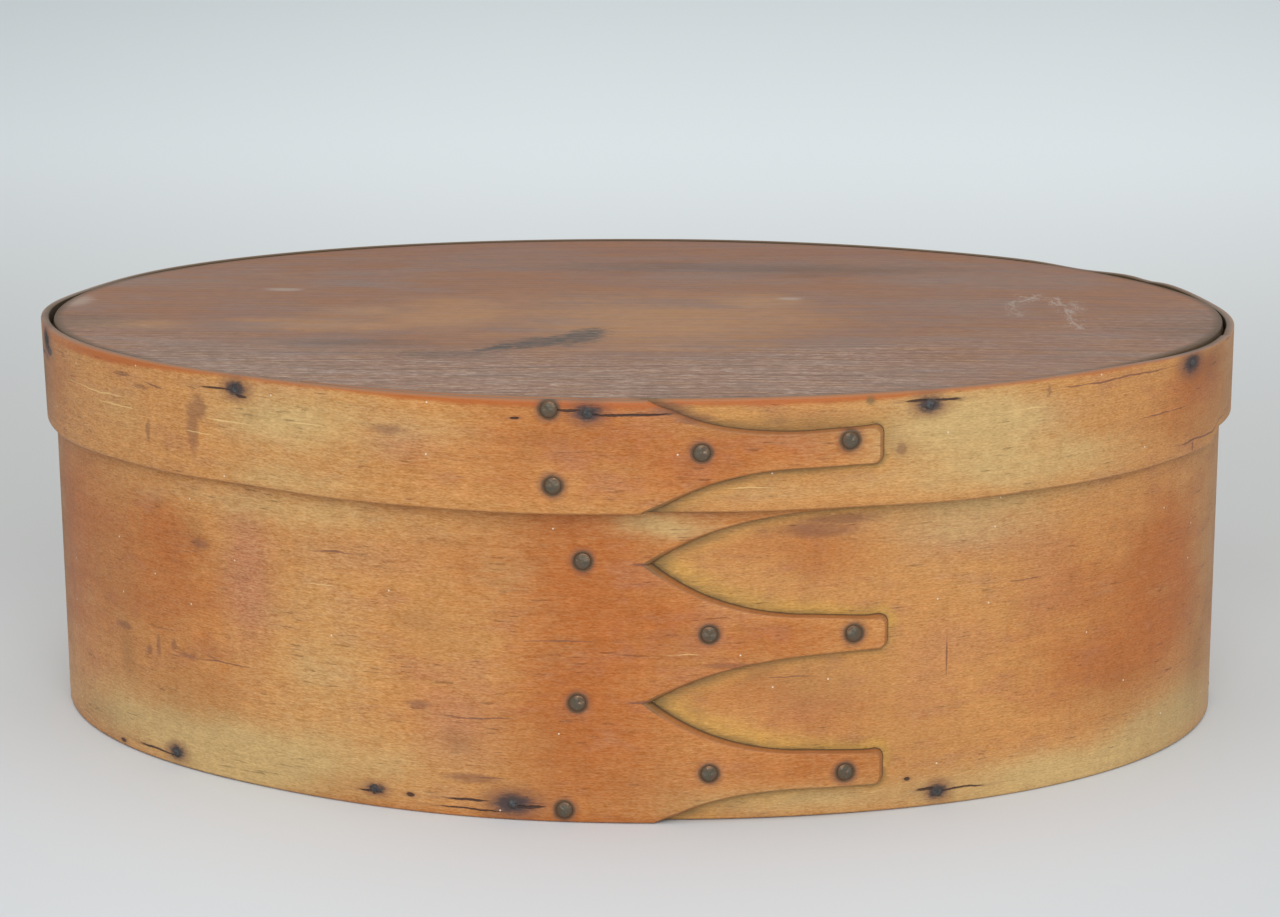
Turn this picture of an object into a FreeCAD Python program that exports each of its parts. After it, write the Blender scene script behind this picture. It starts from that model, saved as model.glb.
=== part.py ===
"""Oval bentwood box with a lift-off lid, built from its separate pieces.

Two thin maple bands are bent round an oval. Each laps over itself at the front,
where its outer end is cut into long tapered fingers held down by copper tacks.
A flat pine board closes the bottom of the side band and the top of the lid band,
and small square iron nails go through the bands into the boards' edges.

The row's frame: +X along the box, +Z up, the fingers at the front (-Y) pointing to +X.
Heights are from the face that the box stands on. A place round the box is a turn
from the middle of the front, positive towards +X.
"""
import FreeCAD, Part
import math
import os

Vector = FreeCAD.Vector

# --- Sizes of the box, in millimetres -------------------------------------------
box_half_length = 145.15       # oval of the side band's inner face, along X
box_half_width = 101.1         # the same oval, along Y
box_height = 93.25
box_band_thickness = 2.15
bottom_board_thickness = 7.0

# --- Sizes of the lid ------------------------------------------------------------
lid_band_height = 26.1
lid_band_thickness = 2.0
lid_board_thickness = 5.8
lid_board_sink = 0.4           # top of the board below the band's top edge
lid_arris = 0.7                # round along the lid band's top edge
board_arris = 0.5              # round along the lid board's top edge

# --- Clearances ------------------------------------------------------------------
lid_clearance = 0.7            # lid band round the side band
lid_seat_gap = 0.1             # lid board above the side band's top edge
lap_gap = 0.15                 # between the two layers of a lap
board_gap = 0.15               # boards inside their bands
pin_gap = 0.05                 # tacks and nails in their holes

# --- Laps, by distance along X from the middle of the front ------------------------
swell_start = -88.0            # the outer layer starts to ride over the inner end
box_swell_end = -15.0          # both layers at full thickness from here
lid_swell_end = -19.0
feather_edge = 0.45            # thickness of the inner end's thin edge
lid_bulge_end = math.radians(62)   # turn where the lid is back on the plain oval

# --- Fingers ---------------------------------------------------------------------
box_finger_count = 3
box_first_finger = 12.1        # height of the lowest finger's middle
box_last_finger_drop = 17.65   # highest finger's middle below the band's top edge
box_finger_reach = 65.0        # tips, by distance along X
box_neck_half = 4.4            # half the finger's width where its edge turns straight
box_tip_half = 3.5
lid_finger_drop = 11.35        # finger's middle below the lid band's top edge
lid_finger_reach = 63.8
lid_neck_half = 4.05
lid_tip_half = 4.4
notch_start = 10.8             # point of the notch between two fingers
notch_lift = 1.4               # that point above the middle between the fingers
rim_start = 13.6               # where an outer finger's edge leaves the band's edge
neck_run = 15.2                # from the notch's point to the finger's neck
straight_side = 16.0           # of a finger, up to its tip
tip_corner = 1.6               # round at the finger's tip

# --- Copper tacks ------------------------------------------------------------------
tack_head_radius = 1.95
tack_dome = 0.4                # top of the head above the wood
tack_rim = 0.12                # edge of the head above the wood
tack_sink = 0.25               # underside of the head below the wood
tack_shank_radius = 0.6
clinch_radius = 1.3            # flattened end inside the band
clinch_thickness = 0.4
tack_length = 11.0             # of a tack driven into a board's edge
tip_tack_inset = 7.2           # from the finger's tip
finger_tack_lift = 0.6         # off the finger's middle
box_root_places = [-6.9, -3.7, -2.2, -3.0]         # along X, from the lowest tack up
box_top_tack_drop = 4.6        # highest root tack below the side band's top edge
lid_root_places = [-8.5, -9.2]
lid_low_tack_rise = 6.35       # above the lid band's bottom edge
lid_high_tack_lift = 0.95      # above the middle of the lid board's edge

# --- Iron nails --------------------------------------------------------------------
nail_head_side = 2.6
nail_head_top_side = 1.9
nail_head_sink = 0.5
nail_head_rise = 0.12
nail_shank_side = 1.4
nail_point_side = 0.5
nail_length = 13.0
bottom_nail_lift = 0.9         # above the middle of the bottom board's edge
bottom_nail_turns = [-44.8, -20.4, -7.3, 31.9, 88, 124, 160, 196, 232, 264]
lid_nail_turns = [-71.8, -33.9, 0.4, 29.6, 65.5, 99, 130, 162, 196, 236]

# --- Values worked out from the sizes -----------------------------------------------
round_steps = 132              # points of a band's outline in one turn
curve_edges = 8                # edges that the outline is drawn in
full_turn = 2 * math.pi
box_layer = box_band_thickness + lap_gap
lid_layer = lid_band_thickness + lap_gap
lid_bore = box_band_thickness + lid_clearance      # lid band's inner face off the oval
lid_board_bottom = box_height + lid_seat_gap
lid_top = lid_board_bottom + lid_board_thickness + lid_board_sink
lid_bottom = lid_top - lid_band_height
bottom_board_middle = bottom_board_thickness / 2
lid_board_middle = lid_board_bottom + lid_board_thickness / 2
finger_neck = notch_start + neck_run
oval_back = (box_layer + lid_layer) / 2            # the laps stand out at the front only


# --- The oval ------------------------------------------------------------------------
def oval_point(turn, out, height=0.0):
    """Point at a turn round the oval, moved out square to it."""
    square_x = box_half_width * math.sin(turn)
    square_y = -box_half_length * math.cos(turn)
    length = math.hypot(square_x, square_y)
    x = box_half_length * math.sin(turn) + out * square_x / length
    y = -box_half_width * math.cos(turn) + out * square_y / length
    return Vector(x, y + oval_back, height)


def outward(turn):
    """Unit vector square to the oval, pointing out of the box."""
    return oval_point(turn, 1.0) - oval_point(turn, 0.0)


def turn_at(x, out=0.0):
    """Turn of the point on the front at a distance x along the box."""
    turn = math.asin(x / box_half_length)
    for _ in range(6):
        turn = math.asin((x - out * outward(turn).x) / box_half_length)
    return turn


def smooth_rise(turn, start, end):
    """0 before start, 1 after end, and a smooth S between them."""
    share = min(max((turn - start) / (end - start), 0.0), 1.0)
    return share * share * (3 - 2 * share)


# --- A band: one thin strip wrapped a little more than once round the oval ------------
class Band:
    """One wrapped strip: its layers, its lap and the height it stands at."""

    def __init__(self, thickness, layer, swell_end, reach, base, low, high):
        self.thickness = thickness
        self.layer = layer                     # step from one layer to the next
        self.swell = (turn_at(swell_start), turn_at(swell_end))
        edge_rise = (feather_edge + lap_gap) / layer
        edge_share = 0.5 - math.sin(math.asin(1 - 2 * edge_rise) / 3)     # undoes smooth_rise
        self.start = self.swell[0] + edge_share * (self.swell[1] - self.swell[0])
        self.reach = reach
        self.end = turn_at(reach + 4 * tip_corner)
        self.base = base                       # inner face off the oval, by turn
        self.low = low
        self.high = high

    def lap_rise(self, turn):
        return self.layer * smooth_rise(turn, *self.swell)

    def inner_face(self, turn):
        return self.base(turn) + self.lap_rise(turn - full_turn)

    def outer_face(self, turn):
        if turn < self.swell[1]:
            return self.base(turn) + self.lap_rise(turn) - lap_gap
        return self.inner_face(turn) + self.thickness

    def skin(self, turn):
        """Outer surface off the oval, for a turn from -pi to pi."""
        lapped = self.lap_rise(turn) if turn < self.end else 0.0
        return self.base(turn) + lapped + self.thickness

    def turns(self):
        span = full_turn + self.end - self.start
        count = int(round_steps * span / full_turn)
        return [self.start + span * step / count for step in range(count + 1)]

    def strip(self):
        """The plain wrapped strip, before its fingers are cut."""
        turns = self.turns()
        outer = [oval_point(turn, self.outer_face(turn), self.low) for turn in turns]
        inner = [oval_point(turn, self.inner_face(turn), self.low) for turn in turns]
        return raised(outer, inner, self.high - self.low)

    def lap_zone(self):
        """The room that only the outer layer fills, over the fingers."""
        first = turn_at(notch_start - 2.0)
        last = self.end + math.radians(1)
        turns = [first + (last - first) * step / 12 for step in range(13)]
        near = [self.base(turn) + self.layer - lap_gap / 2 for turn in turns]
        far = [offset + self.thickness + lap_gap for offset in near]
        outer = [oval_point(t, out, self.low - 1) for t, out in zip(turns, far)]
        inner = [oval_point(t, out, self.low - 1) for t, out in zip(turns, near)]
        return raised(outer, inner, self.high - self.low + 2)


def smooth_edges(points):
    """One smooth curve through the points, in a few edges so that each face stays short."""
    curve = Part.BSplineCurve()
    curve.interpolate(points)
    first, last = curve.FirstParameter, curve.LastParameter
    marks = [first + (last - first) * number / curve_edges for number in range(curve_edges + 1)]
    return [curve.toShape(start, end) for start, end in zip(marks, marks[1:])]


def raised(outer, inner, height):
    """Solid between two open outlines, closed at both ends and raised to a height."""
    near_end = Part.makeLine(inner[0], outer[0])
    far_end = Part.makeLine(outer[-1], inner[-1])
    edges = smooth_edges(outer) + [far_end] + smooth_edges(inner[::-1]) + [near_end]
    return Part.Face(Part.Wire(edges)).extrude(Vector(0, 0, height))


# --- Fingers ---------------------------------------------------------------------------
def comb(fingers, notches, low, high, reach):
    """Everything of the outer layer that is kept: the root and the fingers.

    fingers are (middle, neck half, tip half) from the lowest up; notches are the
    points between them. A finger's edge is a parabola from its notch or from the
    band's edge, running into a straight side, and its tip has rounded corners.
    """
    corners = [(rim_start, low)] + notches + [(rim_start, high)]
    left = notch_start - 8.0
    front = oval_point(0, lid_bore + 3 * box_layer).y
    path = []

    def at(x, z):
        return Vector(x, front, z)

    def line(start, end):
        path.append(Part.makeLine(at(*start), at(*end)))

    def bend(*poles):
        curve = Part.BezierCurve()
        curve.setPoles([at(*pole) for pole in poles])
        path.append(curve.toShape())

    line((left, low - 1), (rim_start, low - 1))
    line((rim_start, low - 1), corners[0])
    for (middle, neck, tip), below, above in zip(fingers, corners, corners[1:]):
        for side, corner in ((-1, below), (1, above)):
            neck_point = (reach - straight_side, middle + side * neck)
            pull = (finger_neck, middle + side * neck)
            tip_point = (reach - tip_corner, middle + side * tip)
            end_point = (reach, middle + side * (tip - tip_corner))
            tip_pole = (reach, middle + side * tip)
            if side < 0:
                bend(corner, pull, neck_point)
                line(neck_point, tip_point)
                bend(tip_point, tip_pole, end_point)
                line(end_point, (reach, middle + tip - tip_corner))
            else:
                bend(end_point, tip_pole, tip_point)
                line(tip_point, neck_point)
                bend(neck_point, pull, corner)
    line(corners[-1], (rim_start, high + 1))
    line((rim_start, high + 1), (left, high + 1))
    line((left, high + 1), (left, low - 1))
    deep = oval_point(turn_at(reach), 0).y + box_layer - front
    return Part.Face(Part.Wire(path)).extrude(Vector(0, deep + lid_layer, 0))


# --- Tacks and nails -----------------------------------------------------------------------
def set_in(shape, turn, out, height):
    """Turn a pin modelled along +Z to point out of the band, and put it in its place."""
    shape.Placement = FreeCAD.Placement(
        oval_point(turn, out, height), FreeCAD.Rotation(Vector(0, 0, 1), outward(turn))
    )
    return shape


def tack(depth, clinched, grow):
    """Domed copper tack, its head's seat at 0. It goes depth into the wood.

    A clinched one ends in a flat button, and the others in a point. grow makes the
    room that it needs in the wood.
    """
    head = tack_head_radius + grow
    shank = tack_shank_radius + grow
    under = -tack_sink - grow
    if clinched:
        button = clinch_radius + grow
        top = -depth + clinch_thickness + grow
        foot = -depth - grow
        end = [(shank, top), (button, top), (button, foot), (0, foot)]
    else:
        point_length = 3 * tack_shank_radius
        end = [(shank, -depth + point_length - grow), (0, -depth - grow)]
    side = [(head, tack_rim), (head, under), (shank, under)] + end
    points = [Vector(radius, 0, height) for radius, height in side]
    middle = Vector(tack_head_radius * 0.55, 0, tack_rim + 0.72 * (tack_dome - tack_rim))
    dome = Part.Arc(Vector(0, 0, tack_dome), middle, points[0]).toShape()
    edges = [dome] + [Part.makeLine(a, b) for a, b in zip(points, points[1:])]
    edges.append(Part.makeLine(points[-1], Vector(0, 0, tack_dome)))
    return Part.Face(Part.Wire(edges)).revolve(Vector(), Vector(0, 0, 1), 360)


def square(side, height):
    half = side / 2
    corners = [(-half, -half), (half, -half), (half, half), (-half, half), (-half, -half)]
    return Part.makePolygon([Vector(x, y, height) for x, y in corners])


def nail(grow):
    """Square iron nail, the wood's surface at 0. grow makes its hole."""
    head = Part.makeLoft(
        [
            square(nail_head_side + 2 * grow, -nail_head_sink - grow),
            square(nail_head_top_side + 2 * grow, nail_head_rise),
        ],
        True,
        True,
    )
    shank = Part.makeLoft(
        [
            square(nail_point_side + 2 * grow, -nail_length - grow),
            square(nail_shank_side + 2 * grow, -nail_head_sink / 2),
        ],
        True,
        True,
    )
    return head.fuse(shank).removeSplitter()


# --- The pieces ------------------------------------------------------------------------------
def box_base(turn):
    return 0.0


def lid_base(turn):
    """The lid's inner face keeps clear of the box's lap, and eases back beyond it."""
    turn = (turn + math.pi) % full_turn - math.pi
    if turn < box_band.end:
        bulge = box_band.lap_rise(turn)
    else:
        bulge = box_layer * (1 - smooth_rise(turn, box_band.end, lid_bulge_end))
    return lid_bore + bulge


box_band = Band(
    box_band_thickness, box_layer, box_swell_end, box_finger_reach, box_base, 0.0, box_height
)
lid_band = Band(
    lid_band_thickness, lid_layer, lid_swell_end, lid_finger_reach, lid_base, lid_bottom, lid_top
)

finger_span = box_height - box_first_finger - box_last_finger_drop
finger_pitch = finger_span / (box_finger_count - 1)
box_fingers = [
    (box_first_finger + number * finger_pitch, box_neck_half, box_tip_half)
    for number in range(box_finger_count)
]
lid_middle = lid_top - lid_finger_drop
lid_fingers = [(lid_middle, lid_neck_half, lid_tip_half)]


def notches_between(fingers):
    middles = [finger[0] for finger in fingers]
    halfway = [(below + above) / 2 for below, above in zip(middles, middles[1:])]
    return [(notch_start, height + notch_lift) for height in halfway]


def fingered(band, strip, fingers):
    """The strip with its outer end cut into fingers."""
    kept = comb(fingers, notches_between(fingers), band.low, band.high, band.reach)
    return strip.cut(band.lap_zone().cut(kept))


def oval_plate(outline, low, high):
    """Flat board whose outline is given as an offset from the oval by turn."""
    turns = [full_turn * step / round_steps for step in range(round_steps)]
    curve = Part.BSplineCurve()
    curve.interpolate([oval_point(turn, outline(turn), low) for turn in turns], PeriodicFlag=True)
    return Part.Face(Part.Wire(curve.toShape())).extrude(Vector(0, 0, high - low))


def edges_at(shape, height):
    """Edges that lie wholly at one height."""
    return [
        edge
        for edge in shape.Edges
        if max(abs(edge.BoundBox.ZMin - height), abs(edge.BoundBox.ZMax - height)) < 1e-4
    ]


def longest(edges):
    return max(edges, key=lambda edge: edge.Length)


lid_strip = lid_band.strip()
lid_strip = lid_strip.makeFillet(lid_arris, [longest(edges_at(lid_strip, lid_top))])
lid_board_top = lid_board_bottom + lid_board_thickness
lid_board = oval_plate(lambda turn: lid_base(turn) - board_gap, lid_board_bottom, lid_board_top)

wood = {
    "side_band": fingered(box_band, box_band.strip(), box_fingers),
    "bottom_board": oval_plate(lambda turn: -board_gap, 0.0, bottom_board_thickness),
    "lid_band": fingered(lid_band, lid_strip, lid_fingers),
    "lid_board": lid_board.makeFillet(board_arris, edges_at(lid_board, lid_board_top)),
}
holes = {node: [] for node in wood}
pins = {}


def fasten(name, make, turn, out, height, nodes):
    """Add one tack or nail, and note its hole in each piece of wood it passes."""
    pins[name] = set_in(make(0.0), turn, out, height)
    for node in nodes:
        holes[node].append(set_in(make(pin_gap), turn, out, height))


def add_tack(name, band, x, height, nodes, board_low, board_high):
    """A tack through both layers, clinched inside, or driven into a board's edge."""
    out = band.base(turn_at(x)) + band.layer + band.thickness
    driven = board_low <= height <= board_high
    depth = tack_length if driven else band.layer + band.thickness

    def make(grow):
        return tack(depth, not driven, grow)

    fasten(name, make, turn_at(x, out), out, height, nodes if driven else nodes[:1])


def add_nails(prefix, turns, band, height, nodes):
    for number, degrees in enumerate(turns, 1):
        turn = math.radians(degrees)
        out = band.skin((turn + math.pi) % full_turn - math.pi)
        fasten(f"{prefix}_{number:02d}", nail, turn, out, height, nodes)


box_wood = (["side_band", "bottom_board"], 0.0, bottom_board_thickness)
lid_wood = (["lid_band", "lid_board"], lid_board_bottom, lid_board_top)
notch_heights = [height for _, height in notches_between(box_fingers)]
box_root_heights = [bottom_board_middle] + notch_heights + [box_height - box_top_tack_drop]
lid_root_heights = [lid_bottom + lid_low_tack_rise, lid_board_middle + lid_high_tack_lift]

for number, (x, height) in enumerate(zip(box_root_places, box_root_heights), 1):
    add_tack(f"box_root_tack_{number}", box_band, x, height, *box_wood)
for number, (x, height) in enumerate(zip(lid_root_places, lid_root_heights), 1):
    add_tack(f"lid_root_tack_{number}", lid_band, x, height, *lid_wood)
for number, (middle, _, _) in enumerate(box_fingers, 1):
    tip_place = box_finger_reach - tip_tack_inset
    neck_height = middle + finger_tack_lift
    add_tack(f"box_neck_tack_{number}", box_band, finger_neck, neck_height, *box_wood)
    add_tack(f"box_tip_tack_{number}", box_band, tip_place, middle, *box_wood)
neck_height = lid_middle - finger_tack_lift
tip_height = lid_middle + finger_tack_lift
add_tack("lid_neck_tack", lid_band, finger_neck, neck_height, *lid_wood)
add_tack("lid_tip_tack", lid_band, lid_finger_reach - tip_tack_inset, tip_height, *lid_wood)

bottom_nail_height = bottom_board_middle + bottom_nail_lift
add_nails("bottom_nail", bottom_nail_turns, box_band, bottom_nail_height, box_wood[0])
add_nails("lid_nail", lid_nail_turns, lid_band, lid_board_middle, lid_wood[0])

pieces = {node: shape.cut(holes[node]) for node, shape in wood.items()}
pieces.update(pins)
os.makedirs("parts", exist_ok=True)
for name, shape in pieces.items():
    shape.exportStep(f"parts/{name}.step")
    print(f"{name}: {len(shape.Solids)} solid, {shape.Volume / 1000:.2f} cm3, valid {shape.isValid()}")
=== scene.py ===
# %% [markdown]
# # An old oval box of bent maple
# A long thin strip of maple is steamed, wrapped round an oval form and lapped over itself at the
# front. The outer end of the strip is cut into tapered fingers, which copper tacks hold down. A pine
# board closes the bottom, and the lid is the same thing again, lower and a little wider.
#
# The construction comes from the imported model, so this lesson only dresses it: every plain solid is
# replaced by a worked surface that stays in the same place, with the wear of a long life on it.

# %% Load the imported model
import math
from types import SimpleNamespace

import bpy
import numpy as np
from mathutils import Matrix, Vector


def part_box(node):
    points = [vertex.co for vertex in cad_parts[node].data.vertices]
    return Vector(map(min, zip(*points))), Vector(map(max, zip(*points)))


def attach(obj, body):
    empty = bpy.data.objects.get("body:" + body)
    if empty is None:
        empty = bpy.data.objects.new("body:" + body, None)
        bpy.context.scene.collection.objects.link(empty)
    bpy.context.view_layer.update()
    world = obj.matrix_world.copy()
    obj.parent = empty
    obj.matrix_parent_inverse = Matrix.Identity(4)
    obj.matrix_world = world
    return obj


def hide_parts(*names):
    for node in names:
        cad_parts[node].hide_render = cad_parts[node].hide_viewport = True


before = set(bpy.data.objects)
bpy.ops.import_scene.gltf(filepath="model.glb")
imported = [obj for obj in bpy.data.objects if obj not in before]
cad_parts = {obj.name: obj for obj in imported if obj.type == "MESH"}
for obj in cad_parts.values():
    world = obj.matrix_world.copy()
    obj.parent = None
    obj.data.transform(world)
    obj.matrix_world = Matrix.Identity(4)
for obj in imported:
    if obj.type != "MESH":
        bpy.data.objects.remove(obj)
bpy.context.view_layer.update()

# %% [markdown]
# ## The oval that everything follows
# All four pieces of wood follow one oval. Working in millimetres keeps the numbers readable, and
# they become metres once, when a mesh is made. The sizes that the solids show, such as the heights
# and the oval's two half axes, are read from them, so the lesson follows the model if it changes.

# %% Sizes read from the solids, in millimetres
MM = 0.001


def box_mm(node):
    """Lowest and highest corner of a solid, in millimetres."""
    low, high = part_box(node)
    return np.array(low) / MM, np.array(high) / MM


board_gap = 0.15
bottom_low, bottom_high = box_mm("bottom_board")
half_length = (bottom_high[0] - bottom_low[0]) / 2 + board_gap
half_width = (bottom_high[1] - bottom_low[1]) / 2 + board_gap
oval_back = (bottom_high[1] + bottom_low[1]) / 2
box_height = box_mm("side_band")[1][2]
lid_low = box_mm("lid_band")[0][2]
lid_high = box_mm("lid_band")[1][2]
lid_board_low = box_mm("lid_board")[0][2]
lid_board_high = box_mm("lid_board")[1][2]
print(f"oval {half_length:.2f} by {half_width:.2f} mm, box {box_height:.2f} mm high")

# %% [markdown]
# A place on the oval is a **turn**, an angle that is 0 in the middle of the front. Moving a point
# out square to the oval gives the faces of the bands, which are offsets of the one curve. The wood's
# grain runs round the box, so its pattern needs the distance walked along the oval as well.

# %% Places on the oval
FULL_TURN = 2 * math.pi


def square_to_oval(turn):
    """Unit outward direction: the oval's tangent turned a quarter, then scaled to length 1."""
    x = half_width * np.sin(turn)
    y = -half_length * np.cos(turn)
    length = np.hypot(x, y)
    return x / length, y / length


def place(turn, out, height):
    """Oval point, plus the outward direction times out, at a height."""
    square_x, square_y = square_to_oval(turn)
    x = half_length * np.sin(turn) + out * square_x
    y = -half_width * np.cos(turn) + out * square_y + oval_back
    return np.stack(np.broadcast_arrays(x, y, height), axis=-1)


def turn_at(x, out=0.0):
    """Turn of a point on the front by its distance along X: the arcsine, refined for the offset."""
    turn = np.arcsin(np.asarray(x) / half_length)
    for _ in range(6):
        turn = np.arcsin((x - out * square_to_oval(turn)[0]) / half_length)
    return turn


def turn_and_offset(points):
    """Undoes place(): slide along the oval until its square direction passes through each point."""
    x = points[:, 0]
    y = points[:, 1] - oval_back
    turn = np.arctan2(x / half_length, -y / half_width)
    for _ in range(12):
        tangent_x = half_length * np.cos(turn)
        tangent_y = half_width * np.sin(turn)
        missed = (x - half_length * np.sin(turn)) * tangent_x
        missed += (y + half_width * np.cos(turn)) * tangent_y
        turn = turn + missed / (tangent_x**2 + tangent_y**2)
    square_x, square_y = square_to_oval(turn)
    out = (x - half_length * np.sin(turn)) * square_x + (y + half_width * np.cos(turn)) * square_y
    return turn, out


walk_turns = np.linspace(-math.pi, 3 * math.pi, 4001)
walk_middles = (walk_turns[1:] + walk_turns[:-1]) / 2
walk_speeds = np.hypot(half_length * np.cos(walk_middles), half_width * np.sin(walk_middles))
walk_lengths = np.concatenate([[0.0], np.cumsum(walk_speeds * np.diff(walk_turns))])
walk_lengths -= np.interp(0.0, walk_turns, walk_lengths)
perimeter = np.interp(FULL_TURN, walk_turns, walk_lengths)


def walked(turn):
    """Distance along the oval from the middle of the front, by adding up short chords."""
    return np.interp(turn, walk_turns, walk_lengths)


def turn_walked(distance):
    """Turn that lies a walked distance from the middle of the front."""
    return np.interp(distance, walk_lengths, walk_turns)


print(f"once round the oval is {perimeter:.1f} mm")

# %% [markdown]
# ## How a strip laps over itself
# The inner end of the strip is shaved to a feather, and the outer end climbs over it in a gentle
# swell. Both are the same S curve, so each face of the strip is an offset from the oval that rises
# by one layer. The lid's strip also has to clear the box's swell underneath it. A hand-planed strip
# is never quite even, so a little is taken off its outer face and its edges here and there.

# %% The two strips
lap_gap = 0.15
swell_start = -88.0
feather_edge = 0.45
straight_side = 16.0
tip_corner = 1.6
root_end = 5.8
lid_clearance = 0.7
lid_bulge_end = math.radians(62)


def smooth_rise(turn, start, end):
    """0 before start and 1 after end: the share u of the way, as u squared times (3 - 2u)."""
    share = np.clip((turn - start) / (end - start), 0.0, 1.0)
    return share * share * (3 - 2 * share)


def from_front(turn):
    """Walked distance to the nearest side of the front's middle, negative to the left."""
    return walked((turn + math.pi) % FULL_TURN - math.pi)


def hump(distance, middle, half):
    """A soft hump of height 1: e to the minus square of the distance in halves."""
    return np.exp(-(((distance - middle) / half) ** 2))


class Strip:
    """A thin board wrapped a little more than once round the oval."""

    def __init__(self, thickness, swell_end, base, low, high, corners, fingers, rim, wear):
        self.thickness = thickness
        self.layer = thickness + lap_gap
        self.swell = (turn_at(swell_start), turn_at(swell_end))
        edge_rise = (feather_edge + lap_gap) / self.layer
        edge_share = 0.5 - math.sin(math.asin(1 - 2 * edge_rise) / 3)
        self.start = self.swell[0] + edge_share * (self.swell[1] - self.swell[0])
        self.end = turn_at(fingers[-1][0] + 4 * tip_corner)
        self.base = base
        self.low = low
        self.high = high
        self.corners = corners
        self.fingers = fingers
        self.rim = rim
        self.wear = wear

    def lap_rise(self, turn):
        """One layer times the S curve of the swell."""
        return self.layer * smooth_rise(turn, *self.swell)

    def inner_face(self, turn):
        """The base offset, plus the rise after one whole turn."""
        return self.base(turn) + self.lap_rise(turn - FULL_TURN)

    def outer_face(self, turn):
        """The feathered top before the swell ends, and inner face plus thickness after it."""
        feather = self.base(turn) + self.lap_rise(turn) - lap_gap
        return np.where(turn < self.swell[1], feather, self.inner_face(turn) + self.thickness)

    def sides(self):
        """Each side of each finger: the finger's reach, its side's levels, the corner, -1 or 1."""
        pairs = zip(self.fingers, self.corners, self.corners[1:])
        return [
            ((reach, lower, below, -1), (reach, upper, above, 1))
            for (reach, lower, upper), below, above in pairs
        ]

    def surface(self, turn, height, depth):
        """Points at a depth of 0 on the outer face to 1 on the inner face, wear included."""
        share = (height - self.low) / (self.high - self.low)
        off_face, off_low, off_high = self.wear(from_front(turn), share)
        outer = self.outer_face(turn) - off_face
        inner = self.inner_face(turn)
        edge_low = np.exp(-(height - self.low) / (1.5 + 1.5 * off_low))
        edge_high = np.exp(-(self.high - height) / 1.5)
        worn_height = height + off_low * edge_low - off_high * edge_high
        return place(turn, outer - depth * (outer - inner), worn_height)

    def finger_turn(self, x, depth):
        """Turn in the outer layer, from a distance along X and a depth in the wood."""
        turn = turn_at(x) + FULL_TURN
        for _ in range(2):
            out = self.outer_face(turn) - depth * self.thickness
            turn = turn_at(x, out) + FULL_TURN
        return turn


def box_base(turn):
    """The side strip lies on the oval itself."""
    return np.zeros_like(turn)


def lid_base(turn):
    """The lid's clearance, plus the box's swell, eased back to nothing past the fingers."""
    turn = (turn + math.pi) % FULL_TURN - math.pi
    over_lap = side_strip.lap_rise(turn)
    eased = side_strip.layer * (1 - smooth_rise(turn, side_strip.end, lid_bulge_end))
    return side_strip.thickness + lid_clearance + np.where(turn < side_strip.end, over_lap, eased)


def side_wear(along, share):
    """Slow waves in the face and rims of the side strip, from sines of the walked distance."""
    off_face = 0.05 * (1 + np.sin(along / 31 + 2 * share))
    off_low = 0.1 * (1 + np.sin(along / 23))
    off_high = 0.12 * (1 + np.sin(along / 17 + 1))
    return off_face, off_low, off_high


def lid_wear(along, share):
    """Waves, a thinner lower edge at the left, a sliver lost below at the right, chips in the
    back rim, and a rim worn lower at both ends, all from humps and rises of the walked distance.
    """
    off_face = 0.03 * (1 + np.sin(along / 27 + 1)) + 0.45 * (1 - share) * hump(along, -170, 34)
    sliver = smooth_rise(along, 162, 169) * (1 - smooth_rise(along, 205, 230))
    off_low = 0.08 * (1 + np.sin(along / 19)) + 0.1 * (1 + np.sin(along / 7.3)) + 3.4 * sliver
    chips = 0.7 * hump(along, 268, 11) + 0.5 * hump(along, 244, 5) + 0.6 * hump(along, 178, 2.2)
    right_end = 1.45 * smooth_rise(along, 112, 170) * (1 - smooth_rise(along, 208, 242))
    left_end = 0.8 * hump(along, -212, 22)
    off_high = 0.05 * (1 + np.sin(along / 21)) + chips + right_end + left_end
    return off_face, off_low, off_high


# A corner is (distance along X, height). A finger is its reach, then for its lower and its upper
# side (distance along X where the curve pulls, height there, height of the neck, height of the tip).
box_corners = [(13.6, 0.0), (10.6, 28.7), (10.8, 61.1), (13.6, box_height)]
box_fingers = [
    (64.2, (26.0, 8.2, 7.8, 7.8), (26.0, 16.3, 15.9, 14.9)),
    (65.0, (26.0, 38.1, 39.4, 40.1), (26.0, 48.6, 47.9, 46.7)),
    (65.0, (26.0, 71.6, 72.9, 73.6), (26.0, 80.9, 80.2, 79.6)),
]
lid_corners = [(11.2, lid_low), (12.6, lid_high)]
lid_lower = (26.0, lid_low + 10.5, lid_low + 10.5, lid_low + 10.9)
lid_upper = (21.5, lid_high - 8.4, lid_high - 8.15, lid_high - 7.5)
lid_fingers = [(63.4, lid_lower, lid_upper)]
side_strip = Strip(
    thickness=2.15,
    swell_end=-15.0,
    base=box_base,
    low=0.0,
    high=box_height,
    corners=box_corners,
    fingers=box_fingers,
    rim=0.55,
    wear=side_wear,
)
lid_strip = Strip(
    thickness=2.0,
    swell_end=-19.0,
    base=lid_base,
    low=lid_low,
    high=lid_high,
    corners=lid_corners,
    fingers=lid_fingers,
    rim=0.6,
    wear=lid_wear,
)
print(len(box_fingers), "fingers on the box and", len(lid_fingers), "on the lid")

# %% [markdown]
# ## Putting grids of points into a mesh
# Every piece here is one or more grids of points. A grid is turned into four-sided faces by index
# arithmetic, the grids of a piece are stacked, and points that share a place are merged, which sews
# the piece shut. Values that a finish will need travel with the points as named attributes.

# %% Grids, sewing and attributes


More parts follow.
